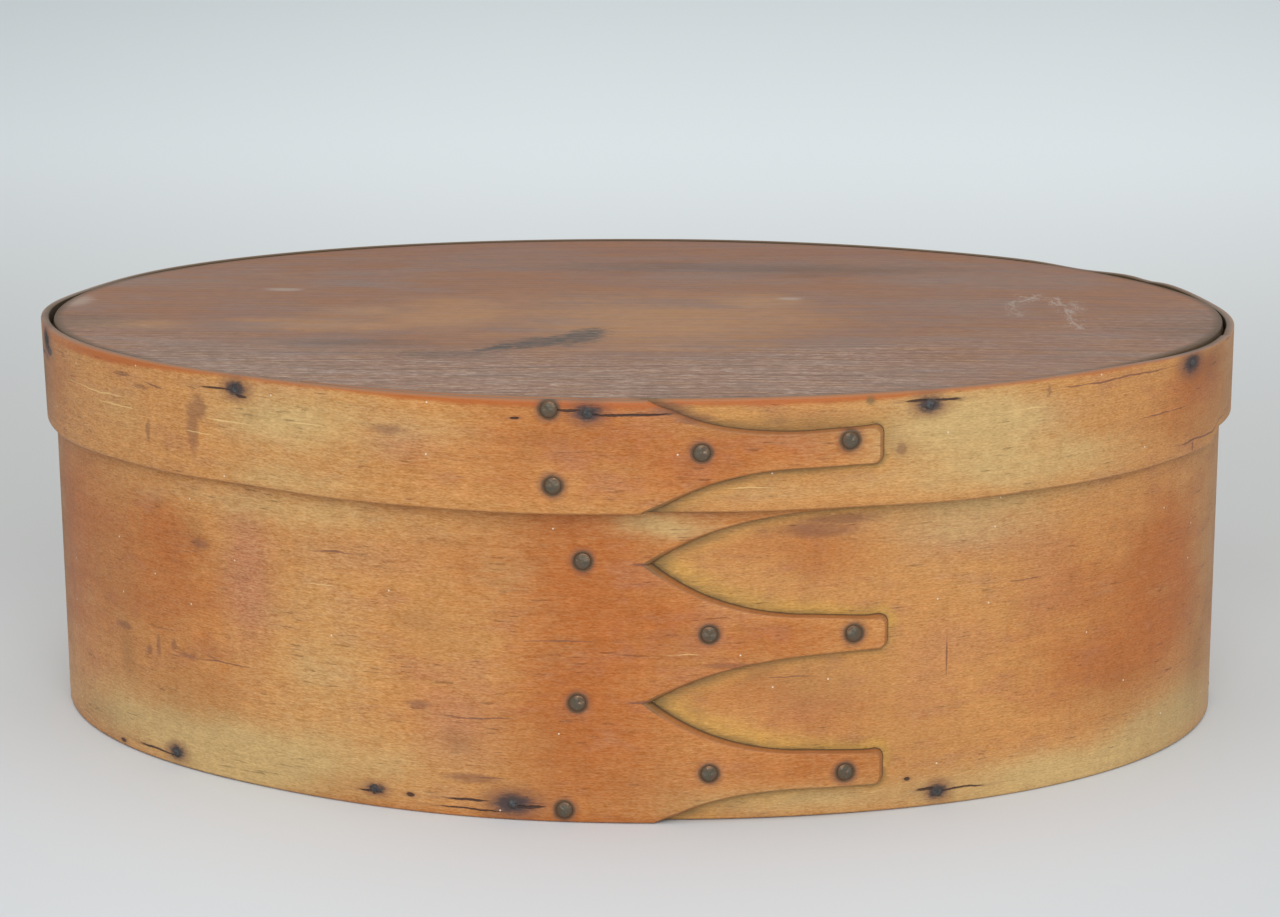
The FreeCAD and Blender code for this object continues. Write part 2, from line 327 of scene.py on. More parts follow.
def grid_faces(rows, columns, first, closed):
    """Corners (r, c), (r, c+1), (r+1, c+1), (r+1, c) of each cell; closed joins the last column."""
    numbers = np.arange(rows * columns).reshape(rows, columns) + first
    if closed:
        numbers = np.concatenate([numbers, numbers[:, :1]], axis=1)
    corners = (numbers[:-1, :-1], numbers[:-1, 1:], numbers[1:, 1:], numbers[1:, :-1])
    return np.stack(corners, axis=-1).reshape(-1, 4)


class Sheets:
    """Grids of points gathered for one piece, with the values that ride on them."""

    def __init__(self):
        self.points = []
        self.faces = []
        self.values = {}
        self.count = 0

    def add(self, points, closed=False, flip=False, **values):
        """Add one grid of shape (rows, columns, 3), in millimetres."""
        rows, columns = points.shape[:2]
        faces = grid_faces(rows, columns, self.count, closed)
        self.faces.append(faces[:, ::-1] if flip else faces)
        self.points.append(points.reshape(-1, 3))
        self.count += rows * columns
        for name, value in values.items():
            self.values.setdefault(name, []).append(value.reshape(rows * columns, -1))

    def piece(self, name, crease=35.0):
        """Sew the grids, turn collapsed cells into triangles, and make the object."""
        points = np.concatenate(self.points)
        merging = np.unique(np.round(points, 3), axis=0, return_index=True, return_inverse=True)
        first = merging[1]
        faces = merging[2].reshape(-1)[np.concatenate(self.faces)]
        distinct = faces != np.roll(faces, -1, axis=1)
        squares = faces[distinct.sum(axis=1) == 4]
        collapsed = distinct.sum(axis=1) == 3
        triangles = faces[collapsed][distinct[collapsed]].reshape(-1, 3)
        mesh = bpy.data.meshes.new(name)
        mesh.from_pydata(points[first] * MM, [], squares.tolist() + triangles.tolist())
        mesh.polygons.foreach_set("use_smooth", np.ones(len(mesh.polygons), bool))
        mesh.set_sharp_from_angle(angle=math.radians(crease))
        for title, parts in self.values.items():
            data = np.concatenate(parts)[first]
            kind, field = ("FLOAT_VECTOR", "vector") if data.shape[1] == 3 else ("FLOAT", "value")
            layer = mesh.attributes.new(title, kind, "POINT")
            layer.data.foreach_set(field, data.ravel())
        made = bpy.data.objects.new(name, mesh)
        bpy.context.scene.collection.objects.link(made)
        print(f"{name}: {len(mesh.vertices)} points, {len(mesh.polygons)} faces")
        return made


def dress(piece, body, finish, node):
    """Give a piece its finish and its body, and hide the solid it stands for."""
    piece.data.materials.append(finish)
    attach(piece, body)
    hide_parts(node)


# %% [markdown]
# ## The edge of a finger
# Each finger is drawn on the wood as a parabola that sweeps out of the notch, a straight side, and a
# rounded corner at the tip. A knife then leans outwards along the line, so the cut face slopes: it is
# wide in the notch, where the knife turns, and steep along the sides. The outline at the surface is
# worked out first, and the foot of the cut is the same line moved sideways.

# %% Outline of a finger and its sloping cut
cut_depths = np.array([0.0, 0.05, 0.2, 0.45, 0.72, 1.0])
cut_slope = np.array([0.0, 0.3, 0.5, 0.7, 0.87, 1.0])
rim_depths = np.array([0.0, 0.05, 0.18, 0.45, 0.8, 1.0])
rim_slope = np.array([0.0, 0.45, 0.85, 1.0, 0.92, 0.55])
cut_places = [10.0, 16.0, 26.0, 45.0, 61.0, 63.4, 66.0]
cut_widths = [1.55, 1.25, 0.85, 0.5, 0.5, 0.95, 0.7]
curve_steps = 44
straight_steps = 12
corner_steps = 7
rim_to_cut = 5.0


def bend(start, pull, end, count):
    """Quadratic curve: (1-q) squared start + 2q(1-q) pull + q squared end."""
    q = np.linspace(0.0, 1.0, count)[:, None]
    start, pull, end = (np.array(point) for point in (start, pull, end))
    return (1 - q) ** 2 * start + 2 * q * (1 - q) * pull + q * q * end


def finger_line(reach, levels, corner, side):
    """Surface outline of one side of a finger: parabola, straight side, rounded corner."""
    pull_x, pull_level, neck_level, tip_level = levels
    neck_point = (reach - straight_side, neck_level)
    tip_point = (reach - tip_corner, tip_level)
    end_point = (reach, tip_level - side * tip_corner)
    curve = bend(corner, (pull_x, pull_level), neck_point, curve_steps)
    straight = np.linspace(neck_point, tip_point, straight_steps)
    rounding = bend(tip_point, (reach, tip_level), end_point, corner_steps)
    return np.concatenate([curve[:-1], straight[:-1], rounding])


def sloping_cut(strip, reach, levels, corner, side):
    """Rows of the cut face, one for each depth: the outline moved square to itself.

    On the band's own edge the cut starts as the rim's rounding. In a notch each row starts where
    it meets the other finger's cut, on the level line through the notch's point.
    """
    line = finger_line(reach, levels, corner, side)
    along = np.gradient(line, axis=0)
    along /= np.linalg.norm(along, axis=1, keepdims=True)
    square = side * np.stack([-along[:, 1], along[:, 0]], axis=1)
    square[-1] = (1.0, 0.0)
    width = np.interp(line[:, :1], cut_places, cut_widths)
    slope = np.tile(cut_slope, (len(line), 1))
    if corner[1] in (strip.low, strip.high):
        gone = np.clip((line[:, :1] - corner[0]) / rim_to_cut, 0.0, 1.0)
        square = square * gone + np.array([0.0, side]) * (1 - gone)
        square /= np.linalg.norm(square, axis=1, keepdims=True)
        width = strip.rim * (1 - gone) + width * gone
        slope = rim_slope * (1 - gone) + cut_slope * gone
        rows = line + (slope.T[:, :, None] * width - strip.rim * (1 - gone)) * square
        rows[:, :, 1] = np.clip(rows[:, :, 1], strip.low, strip.high)
        return rows
    rows = line + slope.T[:, :, None] * width * square
    last = len(line) - 1
    samples = np.arange(last + 1)
    for number, row in enumerate(rows[1:], 1):
        first = np.interp(0.0, side * (corner[1] - row[:, 1]), samples)
        wanted = first + (last - first) * samples / last
        rows[number] = np.stack([np.interp(wanted, samples, row[:, axis]) for axis in (0, 1)], axis=1)
        rows[number, 0, 1] = corner[1]
    return rows


# %% [markdown]
# ## One band as a sewn surface
# Cut the band across anywhere and the section is a thin closed loop: up the outer face, over the top
# edge, down the inner face and back under the bottom edge. Carrying that loop along the strip makes
# the root of the band. At the notches the loop splits, and one smaller loop runs out into each
# finger. Points are close together at the front, where the wear is finely drawn, and further apart
# round the back.

# %% The grids of a band
front_reach = 190.0
fine_spacing = 1.3
coarse_spacing = 3.5


def between(start, end, count):
    """Straight steps from a start to an end, for one point or for whole rows of them."""
    share = np.linspace(0.0, 1.0, count).reshape((-1,) + (1,) * np.ndim(start))
    return np.asarray(start) * (1 - share) + np.asarray(end) * share


def band_columns(strip):
    """Turns along the strip, finely spaced at the front and coarsely round the back."""
    front = turn_walked(front_reach)
    split = FULL_TURN + turn_at(root_end)
    stops = [strip.start, front, FULL_TURN - front, split]
    spacings = [fine_spacing, coarse_spacing, fine_spacing]
    parts = [
        np.linspace(begin, end, int((walked(end) - walked(begin)) / spacing), endpoint=False)
        for begin, end, spacing in zip(stops, stops[1:], spacings)
    ]
    return np.concatenate(parts + [[split]])


def band_sheets(strip, row_count, marks):
    """Every grid of one band: its root, the feathered end, and each finger with its tip."""
    sheets = Sheets()
    cuts = [
        (sloping_cut(strip, *lower), sloping_cut(strip, *upper)) for lower, upper in strip.sides()
    ]
    inner_rows = len(cut_depths) - 2
    up = [between(low[0, 0], high[0, 0], row_count + 1) for low, high in cuts]
    down = [between(high[-1, 0], low[-1, 0], row_count + 1) for low, high in reversed(cuts)]
    outside = np.concatenate([up[0]] + [rows[1:] for rows in up[1:]])
    inside = np.concatenate([down[0]] + [rows[1:] for rows in down[1:]])
    loop = np.concatenate([outside, cuts[-1][1][1:-1, 0], inside, cuts[0][0][1:-1, 0][::-1]])
    flat = np.zeros(len(outside))
    edge = np.ones(inner_rows)
    depth = np.concatenate([flat, rim_depths[1:-1], flat + 1, rim_depths[1:-1][::-1]])
    rim = np.concatenate([flat, edge, flat, edge])

    straight = band_columns(strip)
    slanted = between(straight[-1] + 0 * depth, strip.finger_turn(loop[:, 0], depth), 6)[1:]
    turn = np.concatenate([np.repeat(straight[:, None], len(loop), axis=1), slanted])
    height, depth, rim = np.broadcast_arrays(loop[:, 1], depth, rim, turn)[:3]
    points = strip.surface(turn, height, depth)
    sheets.add(points, closed=True, flip=True, **marks(turn, height, depth, 0 * rim, rim, 0 * rim))

    order = np.roll(np.arange(len(loop)), inner_rows // 2)
    pairs = np.stack([order[: len(loop) // 2], order[len(loop) // 2 :][::-1]], axis=1)
    ends = [values[0][pairs] for values in (turn, height, depth)]
    blank = np.zeros(pairs.shape)
    sheets.add(points[0][pairs], flip=True, **marks(*ends, blank + 1, blank, blank))

    for low, high in cuts:
        face = between(low[0], high[0], row_count + 1)
        back = between(high[-1], low[-1], row_count + 1)
        rows = np.concatenate([face, high[1:-1], back, low[1:-1][::-1]]).swapaxes(0, 1)
        flat = np.zeros(row_count + 1)
        depth = np.concatenate([flat, cut_depths[1:-1], flat + 1, cut_depths[1:-1][::-1]])
        cut = np.concatenate([flat, edge, flat + 1, edge])
        add_finger_grid(sheets, strip, rows, depth[None], cut[None], marks, True)
        tip = between(low[:, -1], high[:, -1], row_count + 1).swapaxes(0, 1)
        tip_cut = np.minimum(cut_depths * 20, 1)
        add_finger_grid(sheets, strip, tip, cut_depths[:, None], tip_cut[:, None], marks, False)
    return sheets


def add_finger_grid(sheets, strip, rows, depth, cut, marks, closed):
    """One grid of a finger, from its points' distances along X and heights."""
    x, height, depth, cut = np.broadcast_arrays(rows[..., 0], rows[..., 1], depth, cut)
    turn = strip.finger_turn(x, depth)
    values = marks(turn, height, 0 * depth, cut, 0 * cut, depth * cut)
    sheets.add(strip.surface(turn, height, depth), closed=closed, flip=True, **values)


# %% [markdown]
# ## Wear, and painted light and shade, as patches
# Old maple isn't one colour. Hands, light and varnish have turned it orange-red in places and rubbed
# it pale in others, in soft patches. A few patches paint light and shade instead: highlights and
# light against shadows are pale, and shade at the two ends of the oval is brown. Each patch is a hump
# with a place, a size and a strength, and the sum of the humps is worked out once for every point.
# The finish then breaks their edges up with noise. A patch is (distance from the front's middle,
# height, half length, half height, strength): warm wood is orange, pale wood and painted light are
# straw, soil and painted shade are brown and blush is a rosy tint.

# %% Patches on the two bands
side_patches = {
    "warm": [
        (17, 49, 9, 6, 0.6), (-152, 45, 24, 34, 0.9), (-112, 45, 20, 22, 0.55),
        (-95, 36, 8, 20, 0.3), (-4, 44, 17, 42, 0.8), (-42, 28, 12, 10, 0.3),
        (-30, 60, 10, 12, 0.35), (146, 44, 20, 26, 1.0), (120, 26, 22, 12, 0.55),
        (112, 50, 14, 14, 0.35), (34, 66, 12, 6, 0.4), (32, 31, 14, 8, 0.35),
        (215, 40, 30, 30, 0.6), (290, 55, 40, 22, 0.5), (-260, 38, 45, 26, 0.6),
        (385, 45, 30, 30, 0.5), (-205, 60, 18, 20, 0.4), (48, 62, 9, 7, 0.4),
        (-80, 0, 90, 1.8, 0.6), (100, 36, 24, 20, 0.15), (40, 44, 14, 6, 0.5),
        (50, 25, 16, 6, 0.45), (47, 12, 16, 5, 0.3), (60, 62, 14, 8, 0.35),
        (-110, 60, 10, 12, 0.4),
    ],
    "pale": [
        (-75, 69, 50, 4.5, 0.5), (-62, 42, 18, 26, 0.35), (-20, 55, 12, 12, 0.25),
        (-84, 9, 38, 8, 0.75), (-130, 9, 18, 9, 0.7), (-92, 5, 22, 6, 1.2), (-10, 40, 7, 8, 0.25),
        # The pale patch at (95, 72), just under the lid's edge, is painted light against the lid's
        # shadow.
        (95, 72, 36, 3, 0.5), (30, 69, 8, 3, 0.3), (-45, 12, 20, 8, 0.2), (112, 3, 36, 6, 1.1),
        (150, 9, 22, 10, 0.7), (90, 66, 26, 5, 0.45), (78, 56, 20, 16, 0.25), (33, 53, 9, 5, 0.2),
        (44, 4.5, 28, 4, 0.85), (10, 71.5, 9, 2.6, 0.5), (17, 69, 8, 2.8, 0.55),
        (200, 6, 40, 8, 0.7), (300, 5, 60, 6, 0.6), (-210, 6, 60, 8, 0.7), (250, 62, 24, 14, 0.4),
        (-320, 52, 40, 24, 0.45), (375, 8, 40, 6, 0.5), (-66, 30, 20, 8, 0.25),
    ],
    "soil_and_shade": [
        # The tall patches at -178 and 182, the ends of the oval, are painted shade where the band turns
        # from the light.
        (-178, 50, 18, 44, 0.55), (182, 45, 22, 50, 0.35), (-100, 60, 4, 3, 0.2),
        (260, 30, 9, 3, 0.35), (-138, 6, 14, 5, 0.25), (58, 28, 14, 8, 0.08),
        (-131, 44, 12, 20, 0.15), (-106, 17, 18, 10, 0.2), (148, 8, 16, 12, 0.14),
        (-46, 7, 40, 8, 0.1), (-12, 18, 12, 10, 0.1), (20, 6, 22, 8, 0.13), (74, 14, 14, 8, 0.12),
        (46, 32, 13, 6, 0.16), (20, 41, 6, 4, 0.14), (-31, 18, 4, 2.5, 0.35),
        (-126, 24, 3, 7, 0.25), (-60, 3, 14, 4, 0.15), (128, 20, 14, 8, 0.15),
        (72, 4, 26, 5, 0.14), (46, 58, 8, 6, 0.1), (-240, 55, 12, 2, 0.35), (330, 60, 6, 6, 0.25),
        (-40, 46, 5, 3, 0.2), (165, 20, 8, 12, 0.2), (-30, 42, 9, 7, 0.12),
    ],
    "blush": [
        (-84, 50, 9, 22, 0.9), (-58, 60, 16, 9, 0.5), (-32, 22, 12, 14, 0.7), (84, 65, 16, 7, 0.9),
        (78, 38, 14, 14, 0.6), (106, 52, 12, 18, 0.45), (46, 26, 14, 5, 0.5),
        (-130, 30, 6, 14, 0.4), (-40, 60, 8, 10, 0.3), (240, 30, 40, 14, 0.5),
        (-280, 40, 40, 14, 0.5),
    ],
}
lid_patches = {
    "warm": [
        (-160, 90, 14, 14, 0.55), (0, 92, 30, 9, 0.5), (22, 84, 16, 7, 0.4), (50, 89, 16, 4, 0.4),
        (153, 93, 18, 7, 0.95), (150, 82, 22, 7, 0.5), (-16, 82, 12, 6, 0.3),
        (-100, 83, 20, 6, 0.25), (240, 88, 50, 10, 0.4), (-290, 86, 60, 9, 0.4),
        (-40, 84, 9, 6, 0.3),
    ],
    "pale": [
        # Near the top, the patches at -68 and 82 are painted highlights; near the lower edge, those at
        # -70 and 100 are painted light against the shade there.
        (-68, 90, 26, 9, 0.85), (-120, 86, 14, 7, 0.35), (82, 91, 27, 9, 0.95),
        (-70, 76, 24, 4, 0.6), (100, 79, 32, 6, 0.7), (42, 78, 22, 3, 0.4), (-35, 92, 12, 4, 0.3),
        (320, 90, 50, 8, 0.5), (-210, 92, 30, 6, 0.4),
    ],
    "soil_and_shade": [
        # The patches at -180 and 182, the ends of the oval, are painted shade where the band turns from
        # the light.
        (-180, 88, 15, 14, 0.92), (182, 86, 20, 16, 0.35), (-300, 80, 20, 3, 0.3),
        (68, 87, 3, 3, 0.25), (44, 93.4, 20, 2.2, 0.4), (160, 95, 10, 5, 0.3),
        (156, 80, 16, 6, 0.12), (-162, 86, 10, 12, 0.15), (-8, 90, 8, 4, 0.15),
    ],
    "blush": [
        (-42, 89, 12, 6, 0.8), (96, 91, 16, 5, 0.7), (-170, 80, 12, 12, 0.4),
        (280, 84, 40, 6, 0.4),
    ],
}
lap_warmth = 0.35
lap_fades_in = (-34.0, 2.0)
layer_change = (0.65 * math.pi, 1.35 * math.pi)
spread_places = [10.0, 30.0, 58.0, 66.0]
spreads = [1.0, 0.75, 0.35, 0.4]
lines_middle = 38.0
lines_reach = 45.0
far_off_mm = 20.0


def humps(patches, along, height):
    """Sum of the patches' humps, each the product of one along (the shorter way) and one up."""
    total = np.zeros(np.shape(along))
    for middle, level, half_along, half_up, strength in patches:
        gap = (along - middle + perimeter / 2) % perimeter - perimeter / 2
        total += strength * hump(gap, 0.0, half_along) * hump(height, level, half_up)
    return total


def line_distance(lines, along_x, height):
    """Shortest distance to some outlines: the least over their closely spaced points."""
    outline = np.concatenate(lines)
    near = np.abs(along_x - lines_middle) < lines_reach
    spots = np.stack([along_x[near], height[near]], axis=1)
    distance = np.full(along_x.shape, far_off_mm)
    gaps = np.hypot(*(spots[:, None, :] - outline[None, :, :]).transpose(2, 0, 1))
    distance[near] = np.minimum(gaps.min(axis=1), far_off_mm)
    return distance


def marks_for(strip, patches):
    """The function that works out the values which ride on a band's points."""
    lower_lines = [finger_line(*lower) for lower, upper in strip.sides()]
    upper_lines = [finger_line(*upper) for lower, upper in strip.sides()]
    lap_start, lap_end = (FULL_TURN + turn_at(place_x) for place_x in lap_fades_in)

    def marks(turn, height, inside, cut, rim, foot):
        along = from_front(turn)
        warm, pale, soil_and_shade, blush = (
            humps(patches[kind], along, height) for kind in ("warm", "pale", "soil_and_shade", "blush")
        )
        warm = warm + lap_warmth * smooth_rise(turn, lap_start, lap_end)
        x = half_length * np.sin(turn) + strip.outer_face(turn) * square_to_oval(turn)[0]
        x = np.where(np.cos(turn) > 0, x, half_length + lines_reach)
        foot_place = np.interp(x, cut_places, cut_widths)
        spread = np.interp(x, spread_places, spreads)
        under = np.maximum(line_distance(lower_lines, x, height) - foot_place, 0.0) / spread
        over = np.maximum(line_distance(upper_lines, x, height) - foot_place, 0.0) / spread
        return {
            "grain": np.stack([walked(turn) * MM, height * MM, inside], -1),
            "tone": np.stack([warm, pale, soil_and_shade], -1),
            "blush": blush,
            "worked": np.stack([cut, rim, foot], -1),
            "outline": np.stack([under, over, smooth_rise(turn, *layer_change)], -1),
        }

    return marks


# %% [markdown]
# ## Shader maths as plain arithmetic
# A finish is a graph of nodes, and graphs are hard to read as code. This small class wraps a
# socket so that `1 - mask * 0.5` adds the right Math nodes by itself. Everything else that a finish
# needs comes from one method, which takes a node's type, its settings and its inputs.

# %% Wires and finishes


class Wire:
    """A socket that can be added, multiplied and so on with numbers and other wires."""

    def __init__(self, finish, socket):
        self.finish = finish
        self.socket = socket

    def maths(self, operation, first, second=0.0):
        """Add one Math node."""
        return self.finish.node("ShaderNodeMath", {"operation": operation}, {0: first, 1: second})

    def __add__(self, other):
        return self.maths("ADD", self, other)

    def __radd__(self, other):
        return self.maths("ADD", other, self)

    def __sub__(self, other):
        return self.maths("SUBTRACT", self, other)

    def __rsub__(self, other):
        return self.maths("SUBTRACT", other, self)

    def __mul__(self, other):
        return self.maths("MULTIPLY", self, other)

    def __rmul__(self, other):
        return self.maths("MULTIPLY", other, self)

    def __truediv__(self, other):
        return self.maths("DIVIDE", self, other)

    def __pow__(self, other):
        return self.maths("POWER", self, other)

    def __gt__(self, other):
        return self.maths("GREATER_THAN", self, other)

    def least(self, other):
        """The smaller of the two."""
        return self.maths("MINIMUM", self, other)

    def most(self, other):
        """The larger of the two."""
        return self.maths("MAXIMUM", self, other)

    def size(self):
        """The value without its sign."""
        return self.maths("ABSOLUTE", self)

    def clipped(self):
        """The value kept between 0 and 1."""
        return self.least(1.0).most(0.0)

    def whole(self):
        """The value rounded down."""
        return self.maths("FLOOR", self)

    def fraction(self):
        """What is left over after rounding down."""
        return self.maths("FRACT", self)

    def swing(self, amount):
        """A noise moved to swing about 0, times an amount."""
        return (self - 0.5) * amount

    def also(self, output):
        """Another output of the same node."""
        return Wire(self.finish, self.socket.node.outputs[output])


class Finish:
    """One material and the node graph inside it."""

    def __init__(self, name):
        self.material = bpy.data.materials.new(name)
        self.material.use_nodes = True
        self.tree = self.material.node_tree
        self.shader = self.tree.nodes["Principled BSDF"]

    def node(self, kind, settings, inputs, output=0):
        """Add a node, apply its settings, then fill or link its sockets."""
        made = self.tree.nodes.new(kind)
        for name, value in settings.items():
            setattr(made, name, value)
        for name, value in inputs.items():
            self.feed(made.inputs[name], value)
        return Wire(self, made.outputs[output])

    def feed(self, socket, value):
        """Link a wire to a socket, or set the socket to a number or a colour."""
        if isinstance(value, Wire):
            self.tree.links.new(value.socket, socket)
        elif socket.type == "RGBA":
            socket.default_value = (*value, 1.0)
        else:
            socket.default_value = value

    def attribute(self, name):
        """Values that ride on the points."""
        return self.node("ShaderNodeAttribute", {"attribute_name": name}, {}, "Vector")

    def part(self, vector, axis):
        """One part of a vector."""
        return self.node("ShaderNodeSeparateXYZ", {}, {0: vector}, axis)

    def point(self, x, y, z=0.0):
        """A vector from its parts."""
        return self.node("ShaderNodeCombineXYZ", {}, {0: x, 1: y, 2: z})

    def along_vector(self, operation, inputs, output="Vector"):
        """Add one Vector Math node."""
        return self.node("ShaderNodeVectorMath", {"operation": operation}, inputs, output)

    def stretched(self, vector, scale, shift=(0.0, 0.0, 0.0)):
        """Vector times scale plus shift, part by part."""
        return self.along_vector("MULTIPLY_ADD", {0: vector, 1: scale, 2: shift})

    def scaled(self, colour, factor):
        """A colour made lighter or darker by one factor."""
        return self.along_vector("SCALE", {0: colour, "Scale": factor})

    def no_darker(self, colour, darkest):
        """The larger of two colours, channel by channel."""
        return self.along_vector("MAXIMUM", {0: colour, 1: darkest})

    def length(self, vector):
        """Root of the sum of the squares of a vector's parts."""
        return self.along_vector("LENGTH", {0: vector}, "Value")

    def noise(self, vector, detail=2.0, roughness=0.5):
        """Soft noise whose features are about one unit of the vector across."""
        inputs = {"Vector": vector, "Scale": 1.0, "Detail": detail, "Roughness": roughness}
        return self.node("ShaderNodeTexNoise", {}, inputs)

    def noises(self, where, table):
        """A noise by name for each row: scales per metre, shift, detail and roughness."""
        return SimpleNamespace(
            **{
                name: self.noise(self.stretched(where, scale, shift), detail, roughness)
                for name, (scale, shift, detail, roughness) in table.items()
            }
        )

    def ease(self, value, start, end, low=0.0, high=1.0):
        """Goes smoothly from low at start to high at end."""
        inputs = {"Value": value, "From Min": start, "From Max": end, "To Min": low, "To Max": high}
        return self.node("ShaderNodeMapRange", {"interpolation_type": "SMOOTHSTEP"}, inputs)

    def fading(self, gap, near, far, share=1.0):
        """The share while the gap is under near, then less and less, and nothing beyond far."""
        return self.ease(gap, near, far, share, 0.0)

    def nearest(self, where, marks):
        """Least of the distances to several places (x, y, half length, half width), in halves."""
        least = None
        for x, y, half_long, half_wide in marks:
            shift = (-x / half_long, -y / half_wide, 0.0)
            gap = self.length(self.stretched(where, (1 / half_long, 1 / half_wide, 0.0), shift))
            least = gap if least is None else least.least(gap)
        return least

    def mix(self, share, first, second):
        """First colour times (1 - share) plus second colour times share."""
        settings = {"data_type": "RGBA"}
        return self.node("ShaderNodeMix", settings, {0: share, 6: first, 7: second}, 2)

    def bump(self, height, distance):
        """Turns a height into a normal; distance is how far the full height stands out, in metres."""
        return self.node("ShaderNodeBump", {}, {"Height": height, "Distance": distance})

    def finish(self, colour, roughness, normal=None, **constants):
        """Connect what varies, and set what is the same all over on the shader itself."""
        self.feed(self.shader.inputs["Base Color"], colour)
        self.feed(self.shader.inputs["Roughness"], roughness)
        if normal is not None:
            self.feed(self.shader.inputs["Normal"], normal)
        for name, value in constants.items():
            self.feed(self.shader.inputs[name.replace("_", " ")], value)
        print(f"{self.material.name}: {len(self.tree.nodes)} nodes")
        return self.material


# %% [markdown]
# ## Where the tacks and nails are
# The solids already hold every tack and nail, so their places are measured and not typed in again.
# The point of a pin that stands furthest off the oval is the middle of its head.

# %% Measuring the pins
tack_dome = 0.4
nail_rise = 0.12
top_layer = 0.02
# No pin was driven quite in line. These are shifts along the band and up.
settled_off_line = {
    "lid_neck_tack": (-1.3, 0.2), "lid_tip_tack": (0.4, 0.9), "lid_root_tack_1": (0.3, 0.4),
    "lid_root_tack_2": (0.3, 0.2), "box_tip_tack_1": (-1.3, -1.0), "box_neck_tack_1": (0.0, -0.6),
    "box_root_tack_1": (0.0, -0.4), "box_root_tack_2": (0.0, -0.7), "box_root_tack_3": (0.0, 0.7),
    "box_neck_tack_2": (0.0, 0.4), "box_tip_tack_2": (0.4, 0.0), "lid_nail_03": (-1.3, 0.5),
    "bottom_nail_01": (-0.5, -0.9), "bottom_nail_03": (0.0, -0.4), "bottom_nail_04": (0.0, -0.9),
}


def solid_points(node):
    """The corners of a solid's mesh, in millimetres."""
    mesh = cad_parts[node].data
    points = np.empty(len(mesh.vertices) * 3)
    mesh.vertices.foreach_get("co", points)
    return points.reshape(-1, 3) / MM


def head_place(node, rise):
    """Turn, offset of the wood's surface and height of a pin, from its outermost points."""
    points = solid_points(node)
    turn, out = turn_and_offset(points)
    top = out > out.max() - top_layer
    along, up = settled_off_line.get(node, (0.0, 0.0))
    moved = turn_walked(walked(turn[top].mean()) + along)
    return moved, out.max() - rise, points[top, 2].mean() + up


tack_nodes = sorted(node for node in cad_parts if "tack" in node)
nail_nodes = sorted(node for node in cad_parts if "nail" in node)
heads = {node: head_place(node, tack_dome) for node in tack_nodes}
heads.update({node: head_place(node, nail_rise) for node in nail_nodes})
# Half sizes of the stains round the nails, for a whole row or for one nail.
stain_sizes = {
    "lid_nail": (2.9, 1.9), "bottom_nail": (2.4, 1.8), "bottom_nail_03": (4.6, 2.5),
    "bottom_nail_02": (2.1, 1.2), "lid_nail_05": (3.6, 2.5), "lid_nail_01": (3.2, 2.6),
}


def spots(names, prefix):
    """(distance from the front's middle, height, half sizes) of the pins in one band.

    A nail's stain has its own size, its row's size, or else the size of one millimetre.
    """
    chosen = [name for name in names if name.startswith(prefix)]
    sizes = [stain_sizes.get(name, stain_sizes.get(name[:-3], (1.0, 1.0))) for name in chosen]
    return [
        (float(from_front(heads[name][0])), float(heads[name][2]), *size)
        for name, size in zip(chosen, sizes)
    ]


for node in tack_nodes + nail_nodes:
    print(node, np.round([from_front(heads[node][0]), heads[node][2]], 1))

# %% [markdown]
# ## The maple finish
# Maple is pale and close-grained. Its figure is faint: long fibres, short darker flecks, a ripple
# across the strip and slow clouds of colour. All of these are noises stretched along the grain, whose
# coordinate runs with the strip. Varnish and age give it an orange depth, and iron nails stain it
# blue-black and split it along the grain. A split is a very flat ellipse; a stain is a rounder one.

# %% Colours and marks of the maple
honey = (0.535, 0.243, 0.076)
amber = (0.43, 0.132, 0.029)
rose = (0.42, 0.168, 0.086)
straw = (0.555, 0.362, 0.148)
fine_grain_and_glint_step = (0.375, 0.265, 0.145)
lemon = (0.6, 0.33, 0.075)
bare_maple = (0.56, 0.37, 0.2)
cut_brown = (0.33, 0.13, 0.045)
rim_worn = (0.36, 0.155, 0.07)
rim_back_shade = (0.26, 0.18, 0.14)
# Dark grime, also used as painted shade in gaps, at the foot of the cuts and beside the fingers.
grime_and_shade = (0.085, 0.055, 0.03)
darkest_maple = (0.004, 0.003, 0.002)
olive = (0.17, 0.11, 0.045)
pale_scratch = (0.78, 0.52, 0.22)
glowing = (0.42, 0.105, 0.02)
purple_haze = (0.17, 0.07, 0.045)
iron_stain = (0.046, 0.038, 0.042)
split_dark = (0.05, 0.026, 0.02)
speck_white = (0.8, 0.72, 0.58)
